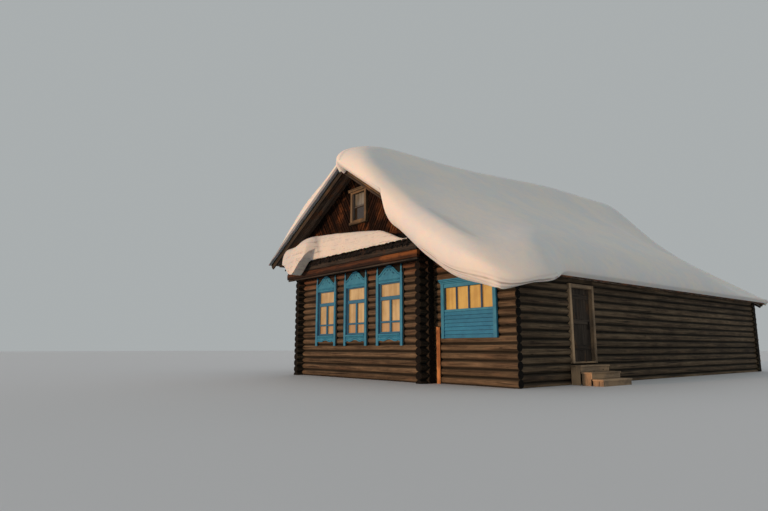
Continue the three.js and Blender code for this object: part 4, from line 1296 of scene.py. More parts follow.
@dataclass(frozen=True)
class PentRoof:
    """The pent roof over the street windows: beam, fascia boards and short boards with ragged ends."""

    half: float = 3.23
    face: float = 0.45  # of the beam
    beam: Span = (3.1, 3.3)
    fascia_top: float = 3.59
    reach: float = 0.52  # of the short boards
    slope: float = 0.57  # likewise

    def top(self, y: Array) -> Array:
        """Height of the short boards' upper face at y."""
        return self.fascia_top + GAP + 0.046 + (y + self.face) * self.slope

    def timber(self) -> None:
        """Makes the beam: a rounded square, |cos a|^5 + |sin a|^5 = r^-5, that swells a little along it."""
        low, high = self.beam
        half, deep, count, stations = (high - low) / 2, 0.055, 24, 90
        u = np.linspace(-self.half, self.half, stations)[:, None]
        angle = np.linspace(0, 2 * np.pi, count, endpoint=False)
        square = (np.abs(np.cos(angle)) ** 5 + np.abs(np.sin(angle)) ** 5) ** (-1 / 5)
        swell = 0.96 + 0.035 * ripple(u / 1.2, angle[None] / 4, 3)
        w = self.face - deep + deep * square * np.cos(angle) * swell
        v = (low + high) / 2 + half * square * np.sin(angle) * swell
        solid = Solid()
        solid.tube(STREET.at(u, v, w), stack(u, np.append(angle, 2 * np.pi) * 0.09, 2.0),
                   stack(w[0] - self.face, v[0] - low, 2.0))
        solid.make("pent_timber", "beam", [Finish.BEAM], "pent_beam")

    def fascia(self) -> None:
        """Makes the two fascia boards between narrow strips, and the strip under the beam."""
        solid, (low, high), reach = Solid(), self.beam, self.half - 0.03
        bounds = (high, high + 0.014, high + 0.15, self.fascia_top - 0.014, self.fascia_top)
        for k, (v0, v1) in enumerate(zip(bounds[:-1], bounds[1:])):
            out = self.face - (0.008 if k in (0, 3) else 0.002)
            depth = (self.face - 0.03, out)
            solid.bar(STREET, (-reach, reach), (v0 + 0.001, v1 - 0.001), depth, 3.0 + k * 1.7, 0.003)
        depth = (self.face - 0.09, self.face - 0.035)
        solid.bar(STREET, (-reach, reach), (low - 0.045, low - 0.004), depth, 21.0)
        solid.make("pent_fascia_boards", "fascia", [Finish.FASCIA], "pent_fascia")

    def deck(self) -> None:
        """Makes the short boards in two layers with broken ends, and the splinters that hang below them,
        near-black as dark wood with painted shade.
        """
        rng = np.random.default_rng(21)
        solid, way = Solid(), np.array([0.0, -1.0, -self.slope]) / math.hypot(1.0, self.slope)
        full = (0.1 + self.reach) * math.hypot(1.0, self.slope)
        for lift, widths, thick in ((0.012, (0.05, 0.11), 0.022), (0.034, (0.04, 0.09), 0.018)):
            x = -self.half
            while x < self.half - 0.02:
                width = min(rng.uniform(*widths), self.half - x)
                length, slant = full + rng.uniform(-0.055, 0.045), rng.uniform(-0.5, 0.5)
                head = np.array([x + width / 2, 0.0993, float(self.top(np.array(0.0993))) - lift])
                tilt = np.array([1.0, 0.0, rng.uniform(-0.05, 0.05)])
                solid.plank(head, head + way, tilt / np.linalg.norm(tilt), width - 0.004, thick,
                            rng.uniform(0, 40), stations=3, cut=slanted(0.0, 0.0, length, slant))
                x += width
        x, down = -self.half, np.array([0.0, -0.42, -0.907])
        while x < self.half - 0.03:
            width, length = rng.uniform(0.025, 0.075), rng.uniform(0.11, 0.2)
            head = np.array([x + width / 2, -self.face - 0.016, self.fascia_top - 0.004])
            solid.plank(head, head + down * length, np.array([1.0, 0.0, 0.0]), width - 0.003,
                        rng.uniform(0.01, 0.022), rng.uniform(0, 40), stations=3)
            x += width + max(0.0, rng.uniform(-0.03, 0.02))
        solid.make("pent_deck", "roof_boards", [Finish.SPLINTERS_IN_PAINTED_SHADE], "pent_boards")

    def build(self) -> None:
        """Makes the three pieces."""
        self.timber()
        self.fascia()
        self.deck()


@dataclass(frozen=True)
class CarvedWindow:
    """A tall window in a carved casing, with a top light over two casements that have a low thin bar."""

    name: str  # which its nodes start with
    wall: Wall
    centre: float
    seed: int  # picks its boards
    sill: float = 1.3  # height of the glass; other heights count from it
    width: float = 0.81
    height: float = 1.3
    bar: float = 0.045  # width, outer bars
    half: float = 0.56  # half the width
    board: float = 0.1  # width, side boards
    thick: float = 0.036  # out of the wall
    bottom: float = -0.37  # side boards' lower ends
    foot: float = 1.55  # where the crest leaves them
    crest: float = 1.797
    spike: float = 1.788
    apron: float = -0.252  # its lower edge at the sides
    set_back: float = 0.025  # of the sash
    transom: Span = (0.862, 0.962)
    low_bar: Span = (0.244, 0.292)
    mullion: float = 0.0375  # half its width

    @property
    def inner(self) -> float:
        """u of the side boards' inner edges."""
        return self.half - self.board

    @property
    def place(self) -> Wall:
        """The wall's axes, moved to the window's middle and sill."""
        return replace(self.wall, u0=self.centre, v0=self.sill)

    def bell(self, u: Array) -> Array:
        """Height of the crest's edge: a soft step to the power 0.85 from the side boards to the middle."""
        return self.foot + (self.crest - self.foot) * smooth((self.inner + 0.015 - np.abs(u)) / 0.44) ** 0.85

    def hem(self, u: Array) -> Array:
        """Height of the apron's lower edge: a wide middle arch between two small ones."""
        q = np.abs(u) / self.inner
        return self.apron + 0.05 * smooth((0.55 - q) / 0.5) + 0.022 * bump(q, 0.8, 0.12)

    def relief(self, solid: Solid, u: Array, v: Array, height: Array, seed: float,
               lying: bool = True, marks: Array | None = None) -> None:
        """Adds a carved plate: its face stands at height over the wall and its back lies on the wall.

        Args:
            solid: takes the plate.
            u: places across the window, on a grid.
            v: places above the sill, on the same grid.
            height: how far the face stands out of the wall.
            seed: picks the grain.
            lying: whether the grain runs along u.
            marks: grid points painted in the second finish, or None.
        """
        along, across = (u, v) if lying else (v, u)
        face, back = (self.place.at(u, v, w) for w in (height, GAP))
        solid.shell(face, back, stack(along + seed, across, seed), marks=marks)

    def side_board(self, solid: Solid, side: float) -> None:
        """Adds a side board: straight below, then an ogee into a narrow finial that ends in a point.

        Half the width is 0.05 up to the foot of the crest, falls by a soft step to 0.023 and closes to a
        point at the top; a shallow groove runs down its middle and a notch is cut near its lower end.

        Args:
            solid: takes the board.
            side: -1 for the left one, 1 for the right one.
        """
        low = np.linspace(self.bottom, self.foot, 30)
        v = np.concatenate([low, np.linspace(self.foot + 0.012, self.spike, 26)])
        above = smooth((v - self.foot) / 0.09)
        width = 0.05 - 0.027 * above + 0.007 * bump(v, self.foot + 0.15, 0.03)
        width = width * np.sqrt(np.clip((self.spike + 0.003 - v) / 0.08, 0.0008, 1.0))
        width = width - 0.01 * bump(v, self.bottom + 0.085, 0.02)
        middle = side * (self.half - self.board / 2)
        s = np.array([-1, -0.93, -0.62, -0.5, -0.3, 0.0, 0.3, 0.5, 0.62, 0.93, 1.0])
        rise = np.array([-0.012, -0.001, 0.0, -0.007, -0.009, -0.009, -0.009, -0.007, 0.0, -0.001, -0.012])
        u = middle + width[:, None] * s
        band = smooth((v - self.foot - 0.02) / 0.04)[:, None]
        height = self.thick - 0.002 + rise * (1 - band) - band * 0.01 * s ** 2
        self.relief(solid, u, np.broadcast_to(v[:, None], u.shape), height, self.seed + side, False)

    def crest_plate(self, solid: Solid) -> None:
        """Adds the crest: a field under a raised bead that follows the bell, with carved leaves.

        With d the distance down from the bell's edge, the bead stands 13 mm proud where d < 0.035 and a
        groove lies under it; a leaf is the hollow where (a / long)^2 + (b / 0.013)^2 < 1 in its own axes.

        Args:
            solid: takes the crest.
        """
        s, t = np.linspace(-1, 1, 145)[None], np.linspace(0, 1, 73)[:, None]
        u = np.broadcast_to(s * (self.inner - 0.0005), (73, 145))
        low = self.height + 0.03
        v = low + t * (self.bell(u) - low)
        pitch = np.gradient(self.bell(u), axis=1) / np.gradient(u, axis=1)
        d = (self.bell(u) - v) / np.sqrt(1 + pitch ** 2)
        height = 0.02 + 0.013 * smooth((0.036 - d) / 0.006) * smooth(d / 0.006)
        deep = bump(d, 0.047, 0.007) * 0.8
        for turn, cu, cv, long in ((56, -0.052, 1.685, 0.05), (-56, 0.052, 1.685, 0.05),
                                   (34, -0.185, 1.585, 0.05), (-34, 0.185, 1.585, 0.05),
                                   (0, 0.0, 1.59, 0.014)):
            c, sn = math.cos(math.radians(turn)), math.sin(math.radians(turn))
            a, b = (u - cu) * c + (v - cv) * sn, (v - cv) * c - (u - cu) * sn
            deep = np.maximum(deep, smooth((1.15 - (a / long) ** 2 - (b / 0.013) ** 2) / 0.3))
        height = height - 0.014 * deep + 0.004 * bump(u, 0.0, 0.012) * bump(v, 1.675, 0.03)
        # the hollows take the darker blue, painted shade
        self.relief(solid, u, v, np.maximum(height, 0.003), self.seed + 2.3, marks=deep > 0.45)

    def apron_plate(self, solid: Solid) -> None:
        """Adds the apron: a field with a bead along the hem, two lying grooves and a row of small hollows.

        Args:
            solid: takes the apron.
        """
        s, t = np.linspace(-1, 1, 121)[None], np.linspace(0, 1, 37)[:, None]
        u = np.broadcast_to(s * (self.inner - 0.0005), (37, 121))
        v = self.hem(u) + t * (-0.075 - self.hem(u))
        d = v - self.hem(u)
        height = 0.02 + 0.008 * smooth((0.026 - d) / 0.006)
        hollows = smooth((np.cos(np.pi * u / 0.06) ** 2 - 0.55) / 0.3) * bump(v, -0.165, 0.012)
        lines = [bump(d, 0.034, 0.005), bump(v, -0.112, 0.005), bump(v, -0.142, 0.005)]
        deep = np.maximum.reduce([*lines, hollows])
        # the hollows take the darker blue, painted shade
        self.relief(solid, u, v, np.maximum(height - 0.012 * deep, 0.003), self.seed + 4.1, marks=deep > 0.6)

    def casing(self) -> None:
        """Makes the casing: side boards, crest, head moulding, sill and apron."""
        solid, edge, head = Solid(), self.inner - 0.0005, self.height + self.bar
        for side in (-1.0, 1.0):
            self.side_board(solid, side)
        self.crest_plate(solid)
        self.apron_plate(solid)
        for low, high, near, out, seed, bevel in (
                (head + 0.01, head + 0.035, 0.01, 0.03, head + 0.09, 0.003),
                (head + 0.035, head + 0.05, 0.01, 0.05, head + 0.315, 0.003),
                (head + 0.062, head + 0.08, 0.01, 0.036, head + 0.558, 0.003),
                (-0.085, -0.052, GAP, 0.05, 9.2, 0.006), (-0.105, -0.087, GAP, 0.034, 9.9, 0.004)):
            solid.bar(self.place, (-edge, edge), (low, high), (near, out), seed + self.seed, bevel)
        solid.make(self.name + "_carving", "carved_trim", [Finish.CARVED, Finish.REVEAL_IN_PAINTED_SHADE],
                   self.name + "_casing")

    def frames(self) -> None:
        """Makes the dark boards behind the casing as painted shadow, the box in the wall, and the bars of the
        lights.
        """
        solid, half, b, wall, seed = Solid(), self.width / 2, self.bar, self.place, self.seed
        inner, outer, rim = half + b - 0.01, half + b + 0.04, 0.05
        low, high = -b + 0.01, self.height + b - 0.01
        heights, above = (self.bottom + 0.05, self.foot + 0.12), (self.foot - 0.05, self.spike - 0.03)
        # painted shadow: near-black strips beside the side boards and a plate behind the crest
        solid.pair(wall, (self.half + 0.002, self.half + 0.044), heights, (-0.03, 0.006), 2 + seed)
        solid.bar(wall, (-self.inner, self.inner), above, (-0.03, 0.0025), 3 + seed)
        solid.paint(3)
        # the box in the wall takes the darker blue, painted shade on its jambs
        solid.pair(wall, (inner, outer), (low - rim, high + rim), (-WALL, 0.0), 1 + seed)
        for v0, v1 in ((low - rim, low), (high, high + rim)):
            solid.bar(wall, (-inner, inner), (v0, v1), (-WALL, -0.001), 4 + v0 + seed)
        solid.paint(1)
        front = -self.set_back
        back = front - 0.045
        solid.pair(wall, (half, inner), (low, high), (back, front), 6 + seed, 0.006)
        for v0, v1 in ((low, 0.0), (self.height, high), self.transom):
            solid.bar(wall, (-half, half), (v0, v1), (back, front), 8 + v0 + seed, 0.006)
        middle = (-self.mullion, self.mullion)
        solid.bar(wall, middle, (0.0, self.transom[0]), (back, front), 10.0 + seed, 0.008)
        solid.bar(wall, (-half, half), self.low_bar, (back + 0.004, front - 0.004), 11.0 + seed, 0.007)
        solid.paint(0)
        lights = [(-half, half, self.transom[1], self.height)]
        for u0, u1 in ((-half, -self.mullion), (self.mullion, half)):
            lights += [(u0, u1, 0.0, self.low_bar[0]), (u0, u1, self.low_bar[1], self.transom[0])]
        for light in lights:
            self.bead(solid, light, (back, back + 0.014))
        solid.paint(2)
        solid.make(self.name + "_bars", "sash", [Finish.SASH, Finish.REVEAL_IN_PAINTED_SHADE, Finish.PUTTY, Finish.CHAR_AND_PAINTED_SHADOW],
                   self.name + "_sash")

    def bead(self, solid: Solid, light: Hole, w: Span, wide: float = 0.011) -> None:
        """Adds the putty line round one pane.

        Args:
            solid: takes the line.
            light: the pane as (left, right, bottom, top).
            w: its back and its face.
            wide: its width.
        """
        u0, u1, v0, v1 = light
        for u in ((u0, u0 + wide), (u1 - wide, u1)):
            solid.bar(self.place, u, (v0, v1), w, 14 + u[0] + self.seed)
        for v in ((v0, v0 + wide), (v1 - wide, v1)):
            solid.bar(self.place, (u0 + wide, u1 - wide), v, w, 16 + v[0] + self.seed)

    def build(self) -> None:
        """Makes the casing and the bars, and gives the pane its glass."""
        self.casing()
        self.frames()
        dress(self.name + "_glass", Finish.PANE)


@dataclass(frozen=True)
class AnnexWindow:
    """The annex's wide window: plain casing with a cornice, a row of panes, and siding boards below."""

    left: float = 3.36
    right: float = 5.115
    bottom: float = 1.1
    top: float = 2.55
    board: float = 0.1  # width, casing's uprights
    # The glass as (left, right, bottom, top).
    glass: tuple[float, float, float, float] = (3.465, 5.015, 1.8, 2.34)
    panes: int = 4
    rows: int = 7  # siding boards
    bar: float = 0.045  # width, between the panes
    set_back: float = 0.035  # of the bars

    def casing(self) -> None:
        """Makes the upright boards, the head, the cornice in three steps and the strip under the panes."""
        g0, g1, s0, s1 = self.glass
        solid, head = Solid(), self.top - 0.11
        for u0, u1 in ((self.left, g0 - 0.005), (g1 + 0.0005, self.right)):
            solid.bar(ANNEX, (u0, u1), (self.bottom, head), (GAP, 0.058), u0)
        solid.bar(ANNEX, (g0 - 0.004, g1), (s1 + 0.001, head), (0.001, 0.04), 3.0)
        solid.bar(ANNEX, (g0 - 0.004, g1), (s0 - 0.06, s0 - 0.001), (0.001, 0.034), 2.0)
        for low, high, out, past in (
                (0.0, 0.034, 0.07, 0.01), (0.036, 0.072, 0.09, 0.02), (0.074, 0.11, 0.11, 0.03)):
            across = (self.left - past, self.right + past)
            solid.bar(ANNEX, across, (head + low, head + high), (GAP, out), low * 50, 0.006)
        solid.make("annex_casing", "carved_trim", [Finish.CARVED], "annex_window_casing")

    def siding(self) -> None:
        """Makes the lapped boards; each leans out to its lower edge, out(t) = 0.043 - 0.018 t up the board."""
        inner = (self.left + self.board + 0.001, self.right - self.board - 0.001)
        solid = Solid()
        height = (self.glass[2] - 0.06 - self.bottom) / self.rows
        for k in range(self.rows):
            u = np.linspace(*inner, 24)[None]
            t = np.array([0.0, 0.02, 0.08, 0.5, 0.86, 0.95, 1.0])[:, None]
            v = self.bottom + k * height + 0.001 + t * (height - 0.005)
            out = 0.043 - 0.018 * t - 0.008 * smooth((0.02 - t) / 0.02) + 0.001 * ripple(u, t * 0.2, k)
            solid.shell(ANNEX.at(u, v, out), ANNEX.at(u, v, 0.0205), stack(u + k * 9.3, v, 2.0 + k * 3.1))
        solid.make("annex_siding_boards", "siding", [Finish.SIDING], "annex_siding")

    def bars(self) -> None:
        """Makes the frame and the bars between the panes, with a putty line at each bar's side."""
        g0, g1, s0, s1 = self.glass
        solid, b, depth = Solid(), self.bar, (-self.set_back, -0.002)
        for seed, v in ((1.0, (s0 - b, s0)), (2.0, (s1, s1 + b))):
            solid.bar(ANNEX, (g0 - b, g1 + b), v, depth, seed, 0.006)
        pane = (g1 - g0 - (self.panes - 1) * b) / self.panes
        lefts = [g0 + k * (pane + b) for k in range(self.panes + 1)]
        for k, u0 in enumerate(lefts):
            solid.bar(ANNEX, (u0 - b, u0), (s0, s1), depth, 4.0 + k, 0.006)
        solid.paint(0)
        for u0 in lefts[:-1]:
            for u in ((u0, u0 + 0.012), (u0 + pane - 0.012, u0 + pane)):
                solid.bar(ANNEX, u, (s0, s1), (-self.set_back, -self.set_back + 0.012), 9.0 + u[0])
        solid.paint(1)
        solid.make("annex_bars", "sash", [Finish.REVEAL_IN_PAINTED_SHADE, Finish.PUTTY], "annex_window_sash")

    def corner(self) -> None:
        """Makes the short upright board beside the cabin, split into two strips."""
        solid = Solid()
        solid.bar(ANNEX, (3.14, 3.215), (0.0, 1.39), (GAP, 0.026), 2.0)
        solid.bar(ANNEX, (3.218, 3.275), (0.0, 1.375), (GAP, 0.028), 5.0)
        solid.make("corner_strips", "beam", [Finish.CORNER], "corner_board")

    def build(self) -> None:
        """Makes every piece of the window, and the corner board beside it."""
        self.casing()
        self.siding()
        self.bars()
        self.corner()
        dress("annex_window_glass", Finish.WIDE_PANE)


@dataclass(frozen=True)
class YardDoor:
    """Plank door in the annex's yard side, with its frame and steps."""

    along: float = 3.0  # its middle
    width: float = 0.9
    height: float = 1.85
    board: float = 0.09  # width, frame
    planks: int = 6
    treads: int = 3
    going: float = 0.28
    flight: float = 1.3  # the steps' width

    def build(self) -> None:
        """Makes the frame, the leaf with its ledges and handle, and the steps."""
        half, low, high = self.width / 2, FLOOR_TOP + 2 * GAP, FLOOR_TOP + self.height
        casing, wall = Solid(), replace(RIGHT, u0=self.along)
        casing.pair(wall, (half, half + self.board), (low, high + self.board), (-WALL, 0.02), 2.0)
        for seed, v in ((5.0, (high, high + self.board)), (6.0, (low, low + 0.04))):
            casing.bar(wall, (-half, half), v, (-WALL, 0.018), seed)
        casing.make("door_casing", "window_frame", [Finish.PLAIN], "door_frame")
        leaf, step = Solid(), (self.width - 0.002) / self.planks
        for k in range(self.planks):
            u = (0.003 - half + k * step, (k + 1) * step - half - 0.001)
            leaf.bar(wall, u, (low + 0.041, high - 0.001), (-0.108, -0.08), 7.0 + k * 2.3)
        for v in (0.32, 0.95, 1.58):
            leaf.bar(wall, (0.04 - half, half - 0.04), (low + v, low + v + 0.12), (-0.08, -0.061), v * 9, 0.006)
        leaf.bar(wall, (half - 0.13, half - 0.1), (low + 0.83, low + 1.02), (-0.062, -0.03), 30.0, 0.01)
        leaf.make("door_leaf", "dark_trim", [Finish.MOULDING], "door")
        steps, rise, side = Solid(), (FLOOR_TOP - 0.04) / self.treads, self.flight / 2
        for k in range(self.treads):
            top, near = (self.treads - k) * rise, k * self.going
            for part in range(2):
                start = near + part * self.going / 2 + (0.0 if k or part else GAP)
                depth = (start, start + self.going / 2 - 0.004)
                steps.bar(wall, (-side, side), (top - 0.036, top), depth, 3.0 + k * 5 + part)
            depth = (near + self.going - 0.045, near + self.going - 0.02)
            steps.bar(wall, (0.02 - side, side - 0.02), (top - rise, top - 0.037), depth, 13.0 + k)
            for u in (0.02 - side, 0.0, side - 0.05):
                depth = (near + 0.002, near + self.going - 0.046)
                steps.bar(wall, (u, u + 0.03), (0.0, top - 0.037), depth, 18.0 + k + self.along + u)
        steps.make("entry_steps", "floor_boards", [Finish.PLAIN], "door_steps")


def blanket(x: Array, y: Array, upper: Array, lower: Array, edge: Array) -> Solid:
    """Two sheets over one grid, joined along their edges, as one closed surface.

    Args:
        x: places across the house.
        y: places along it.
        upper: height of the upper sheet.
        lower: height of the lower sheet.
        edge: height of the lower edge there, which the finish follows.

    Returns:
        The surface.
    """
    solid = Solid()
    solid.shell(stack(x, y, upper), stack(x, y, lower), stack(x, y, edge))
    return solid


@dataclass(frozen=True)
class HeavySnow:
    """The deep blanket on the right slope: thick at the ridge, curled at the verges, low at the front corner.

    In plan its front corner is the curve a^n + b^n = 1, where a and b are the shares of the way from the
    corner's centre to the eave's tip and to the front tip; rings max(a, b) = constant are drawn in to it.
    """

    left: float = -0.06  # its edge beside the ridge
    depth: float = 0.75
    crown: float = 0.262  # gained at the ridge
    crown_gain: Change = Change(3.5, 10.2, 0.333)  # along the roof
    crown_width: float = 1.7
    loss_along: Change = Change(10.0, 14.0, 0.62)  # towards the far end
    loss_across: Change = Change(0.0, 3.7)  # its share, ridge to eave
    ridge_reach: float = 0.2  # past the front verge
    front_reach: Change = Change(-0.06, 0.4, 0.264)  # further over the slope
    back_reach: float = 0.1
    eave_reach: float = 0.1
    # What it reaches further at the front corner.
    side_reach: tuple[Change, ...] = (Change(2.1, 0.5, 0.5), Change(1.0, -0.9, -0.12))
    ridge_droop: float = 0.07  # below the roof's top line
    # What it hangs lower or higher further down the front verge.
    droops: tuple[Change, ...] = (Change(0.36, 0.14, 0.2), Change(2.68, 3.88, 0.16),
                                  Change(4.28, 6.5, -0.5), Change(3.9, 5.0, 0.04))
    break_off: Change = Change(2.33, 2.56, 0.65)  # where the higher part broke off
    soft_break: Change = Change(1.5, 3.4, 0.65)  # the same in the rounding over it
    # What it hangs lower past the eave, towards the front corner.
    eave_droops: tuple[Change, ...] = (Change(1.1, -0.1, 0.17), Change(0.3, -0.6, 0.3))
    centre: Span = (3.38, 2.05)  # of the corner
    corner: float = 5.0  # the power n
    # How far the front grows steeper and its rounding shorter down the slope, from 0 to 1.
    face: Change = Change(0.15, 1.7, 1.0)
    sag: Change = Change(0.2, 3.9, 0.5)  # along the front

    @property
    def eave(self) -> float:
        """x where the blanket leaves the roof."""
        return RIGHT_EAVE + 0.004

    def front_tip(self, x: Array) -> Array:
        """y of its front tip at x, the corner left aside."""
        return FRONT_EDGE - self.ridge_reach - self.front_reach.at(x)

    def side_tip(self, y: Array) -> Array:
        """x of its tip past the eave at y, the corner left aside."""
        return self.eave + self.eave_reach + sum(change.at(y) for change in self.side_reach)

    def grid(self) -> tuple[Array, Array]:
        """Stations as x and y in straight rows and columns, crowded towards the edges.

        Returns:
            x and y of each station.
        """
        across = rising(arc_in(self.left, 0.5, 18), np.linspace(0.5, 2.2, 18), np.linspace(2.22, 2.66, 18),
                        np.linspace(2.7, 5.2, 34), np.linspace(5.25, self.eave, 12))
        along = rising(arc_in(FRONT_EDGE, 2.05, 34), np.linspace(2.05, BACK_EDGE - 1.6, 70),
                       arc_in(BACK_EDGE + self.back_reach, BACK_EDGE - 1.6, 24),
                       BACK_EDGE + np.array([0.0, 0.02, 0.04, 0.06]))
        curl = rising(np.sin(np.linspace(0, np.pi / 2, 54)[1:]), [0.02, 0.05, 0.09, 0.13])
        guess = np.append(across, np.full(len(curl), self.eave))
        y = np.concatenate([FRONT_EDGE - curl[::-1, None] * (FRONT_EDGE - self.front_tip(guess))[None],
                            np.broadcast_to(along[:, None], (len(along), len(guess)))])
        side = self.side_tip(y[:, -1:]) - self.eave
        over = np.broadcast_to(across[None], (len(y), len(across)))
        return np.concatenate([over, self.eave + curl[None] * side], axis=1), y

    def full(self, x: Array, y: Array) -> Array:
        """Height of the open surface: the slope, the depth, the crown, less the far loss and the front's sag.

        Args:
            x: places across the house.
            y: places along it.

        Returns:
            The heights.
        """
        crown = (self.crown + self.crown_gain.at(y)) * bump(x, 0.0, self.crown_width)
        way = np.clip((y + 0.75) / (3.3 - Change(4.4, 6.0, 1.5).at(x)), 0, 1)
        sag = self.sag.at(x) * (1 - 0.5 * way - 0.5 * smooth(way))
        return roof_top(x) + self.depth + crown - self.loss_along.at(y) * self.loss_across.at(x) - sag

    def closing(self, x: Array, y: Array, ring: Array) -> Array:
        """1 over the roof, falling to 0 at the tip by the way run from the roof's edge.

        Args:
            x: places across the house.
            y: places along it.
            ring: how far out each point lies, 1 at the tip.

        Returns:
            The share at each point.
        """
        ahead = np.maximum((FRONT_EDGE - y) / (FRONT_EDGE - self.front_tip(x)), 0)
        aside = np.maximum((x - self.eave) / (self.side_tip(y) - self.eave), 0)
        past = np.minimum(np.hypot(ahead, aside), 1)
        way = past / np.maximum(past + (1 - ring) * 5.0, 1e-6)
        return nose(np.where(past > 0, way, 0.0), 2.2) * nose((y - BACK_EDGE) / self.back_reach, 2.2)

    def build(self) -> None:
        """Makes the blanket: a lower sheet that hangs past the boards and an upper one that rolls to it."""
        x, y = self.grid()
        cx, cy = self.centre
        a = np.maximum(x - cx, 0) / (self.side_tip(y) - cx)
        b = np.maximum(cy - y, 0) / (cy - self.front_tip(x))
        ring, both = np.maximum(a, b), (a > 0) & (b > 0)
        norm = np.where(both, (a ** self.corner + b ** self.corner) ** (1 / self.corner), 1.0)
        shrink = np.where(both, ring / norm, 1.0)
        side = np.where(both, (a / norm) ** self.corner, np.where(a > 0, 1.0, 0.0))
        x, y = np.where(both, cx + (x - cx) * shrink, x), np.where(both, cy - (cy - y) * shrink, y)

        droop = self.ridge_droop + sum(change.at(x) for change in self.droops)
        low = 0.01 + sum(change.at(y) for change in self.eave_droops)
        value = (droop + self.break_off.at(x)) * (1 - side) + low * side
        rolled = (droop + self.soft_break.at(x)) * (1 - side) + low * side
        tight = (1 - ring) * (1 + 1.3 * side + 3.6 * self.face.at(x) * (1 - side))
        power = 2.0 + (1 - side) * 0.5 * self.face.at(x) + 0.3 * side
        outside = np.hypot(np.maximum(x - self.eave, 0), np.maximum(FRONT_EDGE - y, 0))
        back = Change(BACK_EDGE, BACK_EDGE + 0.06, 0.15).at(y)
        hard = np.maximum(value * smooth((outside - 0.01) / 0.045), back)
        far = Change(BACK_EDGE - 1.2, BACK_EDGE + 0.06, 0.15).at(y)
        soft = np.maximum(rolled * Change(0.8, 0.13).at(tight), far)

        edge = roof_top(x) + GAP - hard
        middle = roof_top(x) - 0.5 * hard + 0.25 * self.depth
        lower = edge + (middle - edge) * (1 - self.closing(x, y, ring))
        full = self.full(x, y)
        base = np.minimum(roof_top(x) - 0.5 * soft + 0.25 * self.depth, full)
        fall = nose(1 - tight, power) * nose(1 - (BACK_EDGE + self.back_reach - y) / 1.7, 2.25) \
            * nose(1 - (x - self.left) / 0.6, 2.4)
        dents = 0.014 * (1 + ripple(x / 2.6, y / 3.4, 11)) + 0.005 * (1 + ripple(x / 0.8, y / 1.1, 12))
        upper = np.maximum(base + (full - base) * fall + 0.004 - dents * fall, lower + 0.003)
        # the height that the painted crease shade lines count from, far below away from the front corner
        follow = roof_top(x) - soft - 3.0 * (1 - smooth((x - 3.0) / 0.6) * smooth((1.9 - y) / 1.0))
        blanket(x, y, upper, lower, follow).make("heavy_snow", "snow", [Finish.SNOW], "snow_right", 80)


@dataclass(frozen=True)
class ThinSnow:
    """The thin layer on the left slope, which drapes over the verges and wastes away towards the eave."""

    depth: float = 0.13
    gain: Change = Change(-4.38, -2.88, 0.22)  # up the slope
    swell: float = 0.19  # more in the slope's middle
    reach: float = 0.11  # past the verges
    drape: float = 0.085  # over them
    short: float = 0.05  # before the eave
    right: float = -0.0603  # its edge beside the heavy blanket

    def build(self) -> None:
        """Makes the layer; its lower side lies on the boards and hangs in front of their ends."""
        tip, front_tip, back_tip = LEFT_EAVE + self.short, FRONT_EDGE - self.reach, BACK_EDGE + self.reach
        across = rising(arc_in(tip, tip + 0.35, 16), np.linspace(tip + 0.35, self.right, 90))
        along = rising(
            arc_in(front_tip, FRONT_EDGE + 0.25, 24), np.linspace(FRONT_EDGE + 0.25, BACK_EDGE - 0.25, 120),
            arc_in(back_tip, BACK_EDGE - 0.25, 16),
            [FRONT_EDGE - 0.002, FRONT_EDGE - 0.008, BACK_EDGE + 0.002, BACK_EDGE + 0.008])
        x, y = np.meshgrid(across, along)
        off = smooth((FRONT_EDGE - 0.002 - y) / 0.006) + smooth((y - BACK_EDGE - 0.002) / 0.006)
        ragged = self.drape + 0.02 * ripple(x / 0.35, 0 * x, 33) + 0.012 * ripple(x / 0.12, 0 * x, 34)
        lower = roof_top(x) + GAP - off * ragged
        full = roof_top(x) + self.depth + self.gain.at(x) + self.swell * bump(x, -2.1, 0.95)
        inside = smooth((self.right - x) / 0.5)
        dents = 0.02 * (1 + ripple(x / 0.9, y / 1.3, 31)) + 0.008 * (1 + ripple(x / 0.22, y / 0.3, 32))
        full = full - dents * inside
        length = FRONT_EDGE + 0.25 - front_tip
        fall = nose(1 - (y - front_tip) / length, 2.4) * nose(1 - (back_tip - y) / length, 2.4) \
            * nose(1 - (x - tip) / 0.35, 2.4)
        upper = lower + (full - lower) * fall + 0.004
        # the height that the painted shade band counts from, far below where the layer lies on the roof
        edge = roof_top(x) - self.drape - 1.0 * (1 - off)
        blanket(x, y, upper, lower, edge).make("thin_snow", "snow", [Finish.THIN_SNOW], "snow_left", 80)


